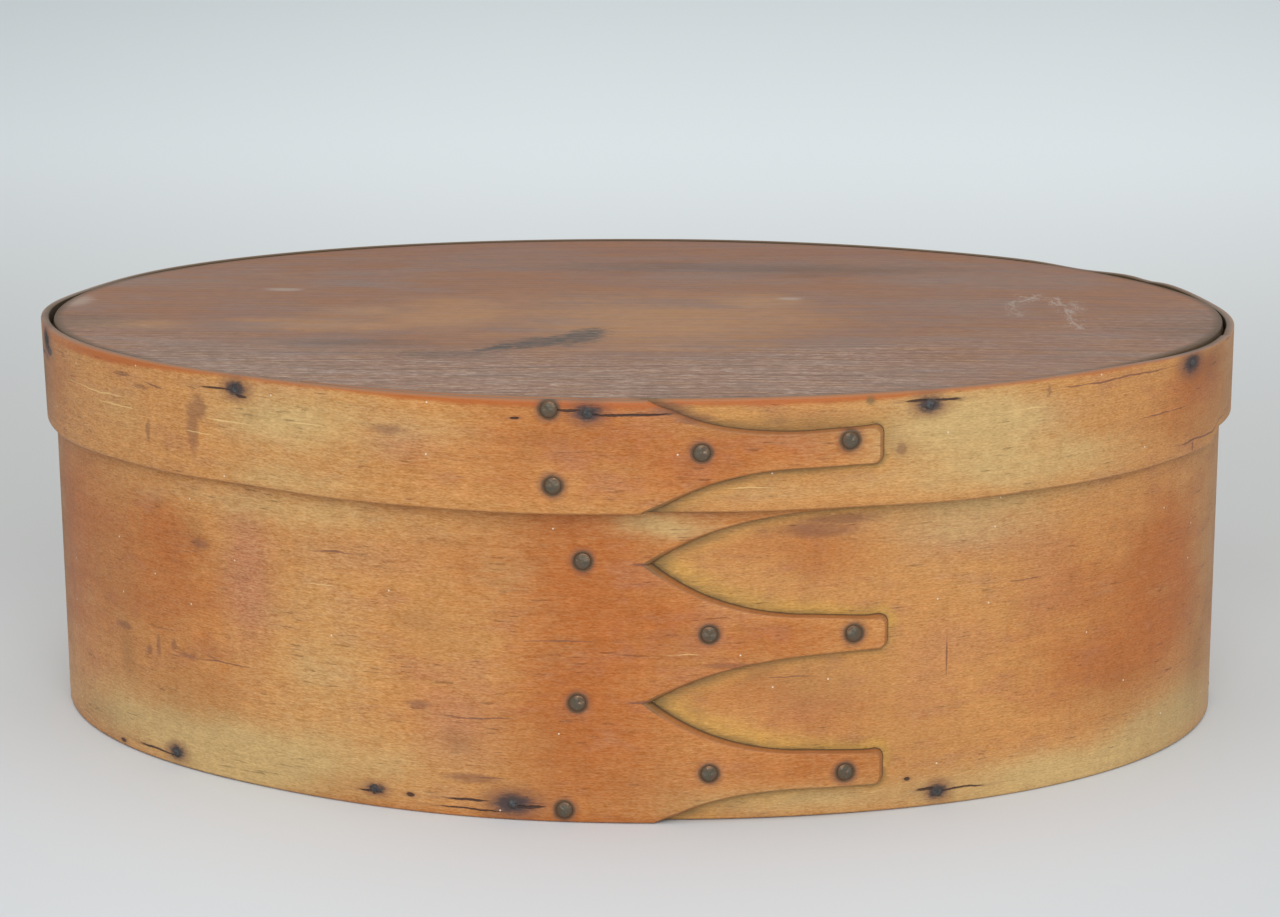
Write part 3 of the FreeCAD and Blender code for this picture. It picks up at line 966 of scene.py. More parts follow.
# Each mark is a place and two half sizes: along the band, and up.
side_marks = {
    "tacks": spots(tack_nodes, "box"),
    "nails": spots(nail_nodes, "bottom"),
    "splits": [
        (-29.0, 4.2, 4.8, 0.22), (-28.0, 2.1, 7.3, 0.2), (-15.0, 3.6, 4.0, 0.3),
        (-52.4, 3.8, 3.0, 0.25), (-42.5, 4.0, 1.0, 0.4), (76.0, 4.3, 2.4, 0.35),
        (84.5, 3.5, 6.0, 0.2), (-115.5, 2.8, 6.8, 0.25), (-129.8, 1.2, 1.2, 0.5),
        (71.3, 7.2, 0.7, 0.4), (214.0, 4.2, 7.0, 0.25), (-262.0, 4.6, 8.0, 0.25),
    ],
    "scratches": [(20.0, 40.0, 4.0, 0.1), (-64.0, 52.0, 4.0, 0.1)],
    "drips": [
        (-127.0, 31.5, 3.4, 0.9), (-117.0, 27.6, 1.2, 1.1), (-113.5, 29.2, 0.8, 3.0),
        (-108.0, 30.4, 0.9, 1.5), (-103.5, 28.6, 3.4, 0.8), (55.0, 70.0, 8.5, 1.2),
        (48.0, 68.2, 6.0, 1.2), (-98.0, 57.0, 3.0, 1.5), (30.0, 37.5, 6.0, 0.8),
        (-28.0, 9.5, 6.0, 1.2), (-40.0, 26.0, 3.0, 1.2), (51.0, 67.6, 9.0, 1.8),
    ],
    "checks": [
        (-91.0, 28.8, 9.0, 0.2), (80.5, 36.0, 0.22, 4.5), (-26.0, 24.0, 7.0, 0.2),
        (-60.0, 60.0, 5.0, 0.18), (100.0, 52.0, 5.0, 0.16), (-8.0, 43.0, 8.0, 0.15),
        (44.0, 33.6, 5.0, 0.15), (-24.0, 10.0, 4.0, 0.2), (10.6, 61.1, 2.3, 0.3),
        (10.4, 28.7, 2.6, 0.35),
    ],
    "hollows": [(11.5, 61.1, 5.5, 3.6), (11.5, 28.7, 5.5, 3.6)],
}
lid_marks = {
    "tacks": spots(tack_nodes, "lid"),
    "nails": spots(nail_nodes, "lid"),
    "splits": [
        (-4.6, 97.0, 2.8, 0.3), (8.6, 96.4, 9.2, 0.3), (-15.8, 95.3, 1.0, 0.3),
        (-89.0, 95.8, 4.2, 0.22), (-82.0, 94.6, 1.6, 0.25), (70.8, 97.2, 3.0, 0.3),
        (77.5, 97.1, 3.0, 0.25), (-168.0, 92.0, 2.2, 0.4), (-159.0, 94.0, 2.4, 1.2),
        (228.0, 96.2, 6.0, 0.25), (-236.0, 96.4, 5.0, 0.25),
    ],
    "scratches": [
        (-131.0, 89.6, 12.0, 0.2), (-122.0, 87.2, 7.0, 0.15), (-86.0, 88.4, 7.0, 0.16),
        (-94.0, 84.6, 4.0, 0.18), (-64.0, 90.2, 5.0, 0.14), (96.0, 93.0, 6.0, 0.14),
        (34.0, 79.5, 4.0, 0.12),
    ],
    "drips": [
        (-96.4, 86.0, 1.7, 6.5), (-94.4, 90.6, 2.2, 3.0), (-110.9, 82.5, 0.7, 2.6),
        (-113.0, 93.0, 2.5, 0.7), (17.0, 97.4, 4.5, 1.3), (22.0, 95.2, 4.0, 0.9),
        (102.5, 96.4, 0.5, 1.3), (67.0, 86.6, 1.2, 1.6), (-44.0, 91.0, 4.0, 1.2),
        (-163.0, 93.5, 3.4, 2.6), (173.5, 98.6, 2.6, 0.8),
    ],
    "checks": [
        (123.0, 96.9, 21.0, 0.24), (158.0, 77.0, 14.0, 0.24), (152.0, 75.2, 0.35, 1.3),
        (-120.0, 94.6, 3.0, 0.25), (-108.0, 94.0, 3.0, 0.22), (139.0, 86.0, 9.0, 0.16),
    ],
    "hollows": [(13.5, 75.0, 5.0, 3.0), (60.0, 98.0, 1.0, 1.0)],
}

# %% [markdown]
# The finish is laid on in layers, much as on the real box: the wood with its tones and grain, the cut
# edges and worn rims, then film and grime with painted shade among them, and last the marks of iron,
# drips and scratches. Each layer is a method that takes a colour and gives it back with one layer more.

# %% Maple in layers
# Noises of the wood: scales per metre along, across and between layers, shift, detail, roughness.
unmoved = (0.0, 0.0, 0.0)
maple_noises = {
    "clouds": ((16, 34, 10), unmoved, 3.0, 0.6),
    "blotches": ((70, 140, 10), (3.1, 0, 0), 3.0, 0.65),
    "mottle": ((260, 420, 10), (0, 4.2, 0), 2.0, 0.6),
    "fibres": ((55, 800, 10), unmoved, 3.0, 0.6),
    "flecks": ((420, 2300, 10), unmoved, 2.0, 0.65),
    "hairs": ((1100, 3900, 10), unmoved, 1.0, 0.6),
    "ripple": ((330, 50, 10), unmoved, 2.0, 0.5),
    "dashes": ((170, 1500, 10), (0, 7.7, 0), 1.0, 0.4),
    "shake": ((500, 700, 0), unmoved, 2.0, 0.7),
    "wobble": ((90, 260, 0), unmoved, 1.0, 0.5),
}
layer_apart = 0.37
speck_scale = (75, 75, 10)
maple_relief = 0.00014


class Maple(Finish):
    """Aged maple: figure, patches of tone, stains round the iron, grime and painted shade along the
    cuts.
    """

    def __init__(self, name, marks, gap_above, lemon_share):
        """Above the height gap_above, the inner face stands against a board's edge."""
        super().__init__(name)
        self.marks = marks
        self.gap_above = gap_above
        self.lemon_share = lemon_share
        grain = self.attribute("grain")
        outline = self.attribute("outline")
        walked_m = self.part(grain, "X")
        height_m = self.part(grain, "Y")
        self.inside = self.part(grain, "Z")
        self.under_mm = self.part(outline, "X")
        self.over_mm = self.part(outline, "Y")
        self.outer_layer = self.part(outline, "Z")
        self.lower_layer = 1 - self.outer_layer
        self.plane = self.point(walked_m, height_m, self.outer_layer * layer_apart)
        past_half = walked_m > perimeter * MM / 2
        self.along_mm = (walked_m - past_half * (perimeter * MM)) * 1000
        self.height_mm = height_m * 1000
        self.true_spot = self.point(self.along_mm, self.height_mm)
        self.wood = self.noises(self.plane, maple_noises)

    def toned(self):
        """Honey, amber and rose in patches, straw where it is pale, lemon beside the outlines."""
        wood = self.wood
        tone = self.attribute("tone")
        blush = self.part(self.attribute("blush"), "X")
        broken = wood.clouds.swing(1.1) + wood.blotches.swing(0.8) + wood.mottle.swing(0.15)
        self.soil_and_shade_patch = self.part(tone, "Z")
        self.warm = self.ease(self.part(tone, "X") + broken, 0.0, 1.0)
        pale = self.ease(self.part(tone, "Y") + broken * 0.8 + wood.flecks.swing(0.4), 0.0, 1.1)
        blushing = self.ease(blush + broken * 0.7, 0.1, 1.0) * 0.75
        rosy = (self.ease(wood.blotches - wood.clouds * 0.4, 0.3, 0.55) * 0.4).most(blushing)
        colour = self.mix(rosy, self.mix(self.warm, honey, amber), rose)
        colour = self.mix(pale, colour, straw)
        beside_top = self.fading(self.over_mm + wood.blotches.swing(6), 1.5, 8.5, self.lemon_share)
        beside_foot = self.fading(self.under_mm + wood.blotches.swing(5), 1.0, 7.0, 0.3)
        return self.mix(beside_top.most(beside_foot) * self.lower_layer, colour, lemon)

    def grained(self, colour):
        """The figure scales the colour, dashes darken it, and the finest grain is added to it, its
        lighter flecks painted glints of the varnish.
        """
        wood = self.wood
        self.figure = 1 + wood.fibres.swing(0.3) + wood.ripple.swing(0.16) + wood.mottle.swing(0.3)
        self.dash = self.ease(wood.dashes, 0.66, 0.74) * self.ease(wood.blotches, 0.45, 0.6)
        # The lighter flecks and hairs also stand as painted glints of the varnish.
        fine_grain_and_glints = (wood.flecks.swing(0.7) + wood.hairs.swing(0.95)) * (1 - self.warm * 0.45)
        colour = self.scaled(colour, self.figure * (1 - self.dash * 0.3))
        colour = self.stretched(self.point(fine_grain_and_glints, fine_grain_and_glints, fine_grain_and_glints), fine_grain_and_glint_step, colour)
        return self.no_darker(colour, darkest_maple)

    def cut_back(self, colour):
        """Cut faces are brown, or olive in the notches, and their lips are grimy."""
        worked = self.attribute("worked")
        self.cut = self.part(worked, "X")
        self.rim = self.part(worked, "Y")
        self.foot = self.part(worked, "Z")
        self.hollow = self.fading(self.nearest(self.true_spot, self.marks["hollows"]), 0.4, 1.6)
        lip = self.cut * (1 - self.cut) * 4
        cut_colour = self.mix(self.hollow, cut_brown, olive)
        colour = self.mix((self.cut * 0.7).most(lip * 0.5), colour, cut_colour)
        return self.mix(lip * (self.hollow * 0.3 + 0.12), colour, grime_and_shade)

    def rimmed(self, colour):
        """A glow under the lid's rim, wide at the left end and over the lap, and the worn rim, painted
        darker towards the ends and round the back as shade.
        """
        behind = self.ease(self.along_mm.size(), 120, 200)
        off_lap = (self.along_mm - 12).size()
        at_left = self.ease(self.along_mm, -130, -80, 2.2, 4.0)
        glow_starts = at_left.least(self.ease(off_lap, 40, 75, 2.9, 4.0))
        height = self.height_mm - self.gap_above
        glow = self.ease(height + self.wood.blotches.swing(1.6) - glow_starts, 0.0, 1.3)
        colour = self.mix(glow * (1 - behind) * (1 - self.inside) * 0.85, colour, glowing)
        rim_share = self.rim * self.ease(height, 0.0, 2.0, 0.3, 0.75)
        # Painted shade: towards the ends and round the back the rim is darker and greyer.
        return self.mix(rim_share, colour, self.mix(behind, rim_worn, rim_back_shade))

    def filmed_and_shaded(self, colour):
        """Olive on the lower layer beside the fingers and in the notches: a film of dirt with painted
        shade of the fingers.
        """
        wood = self.wood
        streaky = wood.fibres.swing(2.5) + wood.flecks.swing(2.5)
        soft_top = self.fading(self.over_mm + wood.blotches.swing(2) + streaky, 0.0, 2.6, 0.65)
        soft_foot = self.fading(self.under_mm + wood.blotches.swing(4) + streaky, 0.0, 4.2, 0.7)
        near_edge = self.fading(self.over_mm.least(self.under_mm), 0.0, 12.0, 0.32)
        near_edge = near_edge * self.ease(wood.blotches, 0.42, 0.62)
        # This olive holds painted shade of the fingers as well as the film of dirt.
        film = soft_top.most(soft_foot).most(self.hollow * 0.9).most(near_edge)
        uneven = 0.8 + wood.mottle.swing(0.8) + wood.flecks.swing(0.9)
        return self.mix(film * self.lower_layer * (1 - self.cut) * uneven, colour, olive)

    def soiled_and_shaded(self, colour):
        """Grime and painted shade in speckled patches, at the foot of each cut and close beside the
        outlines.
        """
        wood = self.wood
        speckled = self.ease(wood.fibres * 0.5 + wood.flecks * 0.5 + wood.mottle * 0.4, 0.5, 0.8)
        soil_and_shade = self.soil_and_shade_patch * (speckled * 0.6 + 0.4)
        # Grime and painted shade in the crease at the foot of each cut, and in a thin line beside the
        # outlines.
        foot_grime_and_shade = self.ease(self.foot, 0.45, 0.95) * 0.9
        top_dirt_and_shade = self.fading(self.over_mm + wood.blotches.swing(1.6), 0.0, 0.8, 0.4)
        foot_dirt_and_shade = self.fading(self.under_mm + wood.blotches.swing(1.6), 0.0, 0.7, 0.4)
        settled_dirt_and_shade = top_dirt_and_shade.most(foot_dirt_and_shade) * self.lower_layer * (1 - self.cut)
        self.dirt_and_shade = soil_and_shade.most(foot_grime_and_shade).most(settled_dirt_and_shade * (0.3 + wood.mottle * 1.3)).clipped()
        return self.mix(self.dirt_and_shade, colour, grime_and_shade)

    def marked(self, colour):
        """Drips and scratches, a purple haze and a grimy ring round the pins, stains and splits."""
        wood = self.wood
        shake = wood.shake - 0.5
        loose_spot = self.point(self.along_mm + shake * 2.4, self.height_mm + shake * 1.4)
        wavy_height = self.height_mm + wood.wobble.swing(1.6) + shake * 0.5
        split_spot = self.point(self.along_mm, wavy_height)
        tack_gap = self.nearest(self.true_spot, self.marks["tacks"])
        nail_gap = self.nearest(loose_spot, self.marks["nails"])
        split_gap = self.nearest(split_spot, self.marks["splits"])
        drip_gap = self.nearest(loose_spot, self.marks["drips"])
        check_gap = self.nearest(split_spot, self.marks["checks"])
        scratch_gap = self.nearest(split_spot, self.marks["scratches"])
        drip = self.fading(drip_gap + wood.blotches.swing(0.8), 0.5, 1.4, 0.5)
        check = self.fading(check_gap + wood.mottle.swing(0.9), 0.6, 1.3, 0.75)
        scratch = self.fading(scratch_gap + wood.mottle.swing(1.6), 0.6, 1.3, 0.7)
        colour = self.mix(drip.most(check), colour, purple_haze)
        colour = self.mix(scratch, colour, pale_scratch)
        halo = self.fading(tack_gap + wood.blotches.swing(2.0), 2.0, 4.0, 0.6) * self.outer_layer
        nail_haze = self.fading(nail_gap + wood.blotches.swing(0.8), 0.8, 2.4, 0.65)
        split_haze = self.fading(split_gap, 0.8, 2.8, 0.35)
        colour = self.mix(halo.most(nail_haze).most(split_haze), colour, purple_haze)
        ring = self.fading(tack_gap + wood.mottle.swing(0.5), 2.0, 2.8, 0.9) * self.outer_layer
        colour = self.mix(ring, colour, grime_and_shade)
        self.stain = self.fading(nail_gap + wood.flecks.swing(0.5), 0.5, 1.3, 0.9)
        colour = self.mix(self.stain, colour, iron_stain)
        self.split = self.fading(split_gap, 0.65, 1.2, 0.93)
        return self.mix(self.split, colour, split_dark)

    def specked(self, colour):
        """White specks: a tiny dot at the middle of one Voronoi cell in five."""
        spread = {"Vector": self.stretched(self.plane, speck_scale), "Scale": 1.0}
        flat = {"voronoi_dimensions": "2D"}
        off_middle = self.node("ShaderNodeTexVoronoi", flat, spread, "Distance")
        chosen = self.part(off_middle.also("Color"), "X") > 0.8
        return self.mix(self.fading(off_middle, 0.011, 0.02, 0.75) * chosen, colour, speck_white)

    def finished(self):
        """All layers outside, bare wood on the inner face, and dark colour painted as shade in the gap
        beside the board.
        """
        wood = self.wood
        colour = self.rimmed(self.cut_back(self.grained(self.toned())))
        colour = self.specked(self.marked(self.soiled_and_shaded(self.filmed_and_shaded(colour))))
        inner = self.scaled(self.mix(wood.clouds * 0.5, bare_maple, honey), self.figure)
        within = self.ease(self.inside, 0.82, 0.98)
        # Painted shade: the inner face in the gap beside the board's edge is coloured dark.
        in_gap = self.ease(self.height_mm, self.gap_above, self.gap_above + 1.5) * self.inside
        colour = self.mix(in_gap, self.mix(within, colour, inner), grime_and_shade)
        relief = wood.fibres * 0.4 + wood.flecks * 0.6
        relief = relief + (wood.hairs + wood.ripple + wood.mottle) * 0.3
        relief = relief - self.split * 3 - self.dash * 0.5 - self.stain
        gloss = 0.42 + (wood.blotches - 0.5 + self.dirt_and_shade + within) * 0.25 + self.stain * 0.2
        return self.finish(colour, gloss, self.bump(relief, maple_relief), Specular_IOR_Level=0.25)


never = 1000.0
side_maple = Maple("side maple", side_marks, gap_above=never, lemon_share=0.7).finished()
lid_maple = Maple("lid maple", lid_marks, gap_above=lid_board_low + 1, lemon_share=0.25).finished()

# %% [markdown]
# ## Making the bands
# The same function makes both bands. The side band has three fingers and stands on the table; the
# lid's has one, and its lower edge is open.

# %% Side band and lid band
side_rows = 16
lid_rows = 20
side_piece = band_sheets(side_strip, side_rows, marks_for(side_strip, side_patches))
dress(side_piece.piece("side_band_maple"), "box", side_maple, "side_band")
lid_piece = band_sheets(lid_strip, lid_rows, marks_for(lid_strip, lid_patches))
dress(lid_piece.piece("lid_band_maple"), "lid", lid_maple, "lid_band")

# %% [markdown]
# ## The boards
# Each board is a flat oval of pine. It is drawn as rings: the same outline again and again, shrunk
# towards the middle on the faces and rounded at the arris. A pine board shrinks in its band over the
# years, so the lid's leaves a dark gap, widest at the two ends, and its right end has sagged a little.

# %% Rings of a board
board_steps = 264
face_shares = np.linspace(0.0, 0.9, 19)
edge_insets = np.array([6.0, 4.5, 3.4, 2.6, 1.9, 1.2])
arris_turns = np.linspace(0.0, math.pi / 2, 5)
droops_between = (90, 150)
# How far in from the edge the face is darkened, by dust and painted shade of the gap, and where it
# grows darker towards the ends.
dark_edge_reach = 2.6
dark_edge_fade = 2.0
darker_ends_between = (90, 140)
band_clearance = 0.1


def board_rings(low, high, arris):
    """Rings (share of the way out, inset, height) from the middle of the upper face, over the
    rounded arrises, to the middle of the lower face.
    """
    insets = np.concatenate([edge_insets, arris * (1 - np.sin(arris_turns))])
    drops = np.concatenate([0 * edge_insets, arris * (1 - np.cos(arris_turns))])
    rings = [(share, 0.0, high) for share in face_shares]
    rings += [(1.0, inset, high - drop) for inset, drop in zip(insets, drops)]
    rings += [(1.0, inset, low + drop) for inset, drop in zip(insets[::-1], drops[::-1])]
    rings += [(share, 0.0, low) for share in face_shares[::-1]]
    return np.array(rings).T


def board_piece(name, outline, full, low, high, arris, outside_up, droop):
    """Oval board: centre + share times (edge - centre), moved in by the inset, for each ring.

    The lower arris reaches out to the full oval, so a shrunken board has a slightly sloping edge.
    The upper side droops towards the right end by a smooth rise. The values that ride along are
    1 on the weathered face, 1 on the edge, which the finish paints dark as shade in the gap by the
    band, and how much the upper face close to the edge is darkened, by dust and by painted shade of
    that gap.
    """
    turn = np.linspace(0.0, FULL_TURN, board_steps, endpoint=False)
    centre = np.array([0.0, oval_back, 0.0])
    share, inset, height = board_rings(low, high, arris)
    inward = -np.stack([*square_to_oval(turn), 0 * turn], axis=1)
    upper = height > (low + high) / 2
    upper_edge = place(turn, outline(turn), 0.0)
    lower_edge = place(turn, full(turn), 0.0)
    edge = np.where(upper[:, None, None], upper_edge[None], lower_edge[None])
    points = centre + share[:, None, None] * (edge - centre) + inset[:, None, None] * inward[None]
    x = points[:, :, 0]
    sagging = droop * upper[:, None] * smooth_rise(x, *droops_between)
    points[:, :, 2] = height[:, None] - sagging
    worn = upper if outside_up else ~upper
    wall = (height > low + arris / 3) & (height < high - arris / 3)
    near_edge = np.clip((dark_edge_reach - inset) / dark_edge_fade, 0.0, 1.0) * (share == 1.0)
    dusty_and_shaded = near_edge[:, None] * (0.25 + 0.75 * smooth_rise(np.abs(x), *darker_ends_between))
    weathered = np.broadcast_arrays(worn[:, None], wall[:, None], dusty_and_shaded)
    sheets = Sheets()
    sheets.add(points, closed=True, weathered=np.stack(weathered, axis=-1).astype(float))
    return sheets.piece(name)


def lid_board_full(turn):
    """Just inside the lid band."""
    return lid_base(turn) - board_gap - band_clearance


def lid_board_outline(turn):
    """The board's upper edge, less the shrinkage: three humps of the walked distance."""
    along = from_front(turn)
    shrunk = 1.35 * hump(along, -195, 34) + 0.7 * hump(along, 180, 26) + 0.45 * hump(along, 140, 34)
    return lid_board_full(turn) - shrunk


# %% [markdown]
# ## The pine finish
# Pine shows its growth rings as lines along the board, with a sharp dark edge to each. The tree was
# a stack of cones, so the rings are distances from a line that runs nearly along the board, a little
# below it and a little tilted, and a noise bends them. The lid's top has darkened to a greyish red
# brown, with a blue-black smudge and pale scratches; the faces inside stayed the colour of straw.

# %% Pine
weathered_dark = (0.09, 0.04, 0.024)
weathered_brown = (0.26, 0.12, 0.064)
weathered_red = (0.225, 0.085, 0.04)
weathered_tan = (0.385, 0.198, 0.09)
weathered_grey = (0.235, 0.145, 0.107)
weathered_ash = (0.31, 0.197, 0.138)
inner_pine = (0.5, 0.32, 0.16)
inner_line = (0.36, 0.19, 0.08)
inner_grey = (0.42, 0.28, 0.155)
smudge_blue = (0.05, 0.052, 0.05)
chalk = (0.44, 0.375, 0.32)
tint_step = (-0.075, 0.0, 0.06)

# Noises of the wood: scales per metre along, across and up, shift, detail, roughness.
pine_noises = {
    "bent": ((4, 12, 8), unmoved, 2.0, 0.5),
    "wavy": ((12, 60, 20), unmoved, 2.0, 0.5),
    "seasons": ((1.5, 42, 0), (7.0, 0, 0), 1.0, 0.5),
    "fibres": ((50, 700, 300), unmoved, 3.0, 0.65),
    "threads": ((430, 1100, 600), unmoved, 2.0, 0.7),
    "grit": ((260, 280, 260), unmoved, 3.0, 0.65),
    "clouds": ((10, 26, 10), unmoved, 3.0, 0.6),
    "drift": ((17, 48, 10), (2.0, 0, 0), 3.0, 0.65),
    "tint": ((45, 230, 10), (5.0, 0, 0), 2.0, 0.6),
    "pits": ((300, 800, 300), unmoved, 2.0, 0.7),
    "scrape": ((160, 160, 0), (0, 2.2, 0), 2.0, 0.6),
    "tangle": ((330, 170, 0), unmoved, 3.0, 0.7),
    "wisps": ((150, 60, 0), (1.7, 0, 0), 1.0, 0.5),
}
pith_back = 0.17
pith_below = 0.03
rings_per_metre = 330
smudge_slant = 0.62
pine_relief = 0.00016


def stroke_gap(x, y, start, end):
    """Distance to a straight stroke: the gap left after walking the clipped share of it."""
    step_x = end[0] - start[0]
    step_y = end[1] - start[1]
    square = step_x**2 + step_y**2
    share = (((x - start[0]) * step_x + (y - start[1]) * step_y) * (1 / square)).clipped()
    left_x = x - start[0] - share * step_x
    left_y = y - start[1] - share * step_y
    return (left_x * left_x + left_y * left_y) ** 0.5


class Pine(Finish):
    """Old pine: rings round a tilted line, fine fibres, and the marks of use on the weathered face."""

    def __init__(self, name, marks):
        super().__init__(name)
        self.marks = marks
        self.where = self.node("ShaderNodeTexCoord", {}, {}, "Object")
        self.x = self.part(self.where, "X")
        self.y = self.part(self.where, "Y")
        self.z = self.part(self.where, "Z")
        sides = self.attribute("weathered")
        self.outward = self.part(sides, "X")
        self.wall = self.part(sides, "Y")
        self.dust_and_shade = self.part(sides, "Z")
        self.wood = self.noises(self.where, pine_noises)
        self.late = self.late_wood()
        self.front_wear = self.worn_front()

    def gap_to(self, kind, where):
        """Distance, in halves, to the nearest mark of a kind; the marks are in millimetres."""
        return self.nearest(where, [tuple(np.array(mark) * MM) for mark in self.marks[kind]])

    def late_wood(self):
        """The dark edge of each ring, which has its own strength.

        A ring's number grows with the distance from the pith, and its fraction is the place
        within the ring. Slow noise makes some years wider than others.
        """
        wood = self.wood
        across = pith_back - self.y + wood.bent.swing(0.03) + self.x * 0.02
        below = pith_below + self.x * 0.05 + self.z * 0.6
        from_pith = (across * across + below * below) ** 0.5
        ring = from_pith * rings_per_metre + wood.wavy.swing(0.8) + wood.seasons * 4
        strength = self.noise(self.point(ring.whole() * 3.7, 0.5, self.x * 6))
        strong = self.ease(strength, 0.35, 0.65, 0.35, 1.0)
        within = ring.fraction()
        return self.ease(within, 0.3, 0.85) * self.fading(within, 0.9, 1.0) * strong

    def worn_front(self):
        """1 along the front edge where hands rubbed it, less towards the ends."""
        off_middle = self.x + 0.02
        from_edge = self.y - off_middle * off_middle * 3.0 + self.wood.drift.swing(0.06)
        at_ends = self.ease(off_middle.size(), 0.06, 0.12, 1.0, 0.4)
        return self.ease(from_edge, -0.042, -0.08) * at_ends

    def weathered(self):
        """Brown and grey clouds, tan where rubbed, red at the back, ash and chalk in front."""
        wood = self.wood
        cloudy = self.ease(wood.drift + wood.clouds.swing(0.6), 0.4, 0.66) * 0.8
        rubbed = self.fading(self.gap_to("warm", self.where) + wood.drift.swing(2.6), 0.2, 1.5, 0.7)
        bleached = self.ease(wood.threads * 0.7 + wood.fibres * 0.4, 0.52, 0.72)
        tint = wood.tint - 0.5
        colour = self.mix(cloudy, weathered_brown, weathered_grey)
        colour = self.mix(rubbed, colour, weathered_tan)
        colour = self.mix(self.ease(self.y, 0.035, 0.09, 0.0, 0.3), colour, weathered_red)
        colour = self.mix(self.front_wear * 0.55, colour, weathered_ash)
        colour = self.mix(self.late * (0.1 + self.front_wear * 0.35), colour, weathered_dark)
        colour = self.mix(bleached * self.front_wear * 0.3, colour, chalk)
        return self.stretched(self.point(tint, tint, tint), tint_step, colour)

    def shaded(self):
        """The weathered or the fresh face, lighter and darker by fibres, threads, grit and clouds."""
        wood = self.wood
        fresh = self.mix(wood.clouds, inner_pine, inner_grey)
        fresh = self.mix(self.late * 0.7, fresh, inner_line)
        by_fibres = (wood.fibres - 0.5) * (0.15 + self.front_wear * 0.5)
        by_threads = (wood.threads - 0.5) * (0.18 + self.front_wear * 0.95)
        shade = 1 + by_fibres + by_threads + wood.grit.swing(0.3) + wood.clouds.swing(0.12)
        return self.scaled(self.mix(self.outward, fresh, self.weathered()), shade)

    def stained(self, colour):
        """A blue-black smudge that slants across the grain, and soft dusky clouds."""
        wood = self.wood
        slanted = self.point(self.x, self.y - self.x * smudge_slant)
        ragged = (wood.drift * 0.3 + wood.threads * 0.7).swing(2.0)
        smudge = self.fading(self.gap_to("smudges", slanted) + ragged, 0.4, 1.15, 0.95)
        smudge = smudge * self.ease(wood.fibres * 0.6 + wood.threads * 0.4, 0.36, 0.62, 1.0, 0.5)
        soft = wood.drift.swing(2.4) + wood.threads.swing(0.8)
        dusk = self.fading(self.gap_to("dusks", self.where) + soft, 0.1, 1.7, 0.36)
        return self.mix(smudge.most(dusk) * self.outward, colour, smudge_blue)

    def scratched(self, colour):
        """Pale scuffs, and scratches: a broken core and a tangle of threads beside shaky strokes."""
        wood = self.wood
        scuff = self.gap_to("scuffs", self.where) + wood.fibres.swing(2.0)
        scuff = self.fading(scuff, 0.4, 1.15, 0.4)
        shaky_x = self.x * 1000 + wood.scrape.swing(5)
        shaky_y = self.y * 1000 + wood.scrape.swing(7)
        gaps = [stroke_gap(shaky_x, shaky_y, *stroke) for stroke in self.marks["strokes"]]
        stroke = gaps[0]
        for gap in gaps[1:]:
            stroke = stroke.least(gap)
        core = self.fading(stroke + wood.grit.swing(2.0), 0.1, 0.7, 0.7)
        thread = self.fading((wood.tangle - 0.5).size(), 0.0, 0.03) * self.fading(stroke, 0.8, 3.8)
        scratch = core.most(thread) * self.ease(wood.wisps, 0.4, 0.52, 0.0, 0.6)
        return self.mix(scuff.most(scratch) * self.outward, colour, chalk)

    def finished(self):
        """The shaded wood with its marks and pits; the edge painted dark as shade in the gap by the
        band, and the face close to it darkened by dust and painted shade.
        """
        wood = self.wood
        pit = self.ease(wood.pits, 0.74, 0.8) * self.outward
        dusty_and_shaded = self.dust_and_shade * (0.8 + wood.clouds.swing(0.6))
        colour = self.scratched(self.stained(self.shaded()))
        colour = self.mix(pit * 0.7, colour, weathered_dark)
        # Painted shade: the board's edge, in the gap by the band, is coloured dark, and the face beside
        # it is darkened by dust and painted shade.
        colour = self.mix((self.wall * 0.9).most(dusty_and_shaded).clipped(), colour, grime_and_shade)
        relief = (wood.fibres + wood.threads) * 0.5 - self.late * 0.35 - pit * 0.8
        gloss = 0.52 + wood.clouds.swing(0.2)
        return self.finish(colour, gloss, self.bump(relief, pine_relief), Specular_IOR_Level=0.12)


# Patches are (x, y, half length, half width) and strokes are (start, end), seen from above.
lid_board_marks = {
    "warm": [
        (6, -16, 42, 34), (-72, -24, 30, 9), (30, 12, 14, 12), (-66, -6, 14, 8), (-46, -12, 20, 20),
        (-122, -26, 18, 6),
    ],
    "smudges": [(-18, -31, 14, 8), (-9, -29.5, 7, 12), (-27, -33, 7, 3.5)],
    "dusks": [
        (-66, -46, 17, 4.5), (-42, -58, 12, 4), (-136, -24, 14, 9), (30, 62, 50, 9), (154, -14, 24, 22),
    ],
    "scuffs": [(-94, 23, 6, 3), (-143, 4, 4, 8), (39, 18, 4, 2.5)],
    "strokes": [
        ((95.7, 24.7), (96.4, 11.8)), ((96.4, 11.8), (96.5, -1.4)), ((98.3, 17.8), (103.1, 26.6)),
        ((106.4, 23.4), (109.0, 12.5)), ((109.0, 12.5), (109.8, -3.9)), ((109.8, -3.9), (111.0, -16.4)),
        ((110.6, 25.6), (111.0, 4.0)), ((98.0, 24.0), (104.0, 20.0)), ((104.0, 20.0), (112.0, 9.0)),
    ],
}
bottom_board_marks = {
    "warm": [(20, 10, 60, 30)],
    "smudges": [(60, 30, 9, 5)],
    "dusks": [(-20, 40, 30, 10)],
    "scuffs": [(-40, -20, 20, 6)],
    "strokes": [((20.0, -50.0), (38.0, -44.0)), ((-62.0, 14.0), (-48.0, 21.0))],
}
lid_pine = Pine("lid pine", lid_board_marks).finished()
bottom_pine = Pine("bottom pine", bottom_board_marks).finished()

# %% Lid board and bottom board


def bottom_outline(turn):
    """The oval less the gap."""
    return np.zeros_like(turn) - board_gap


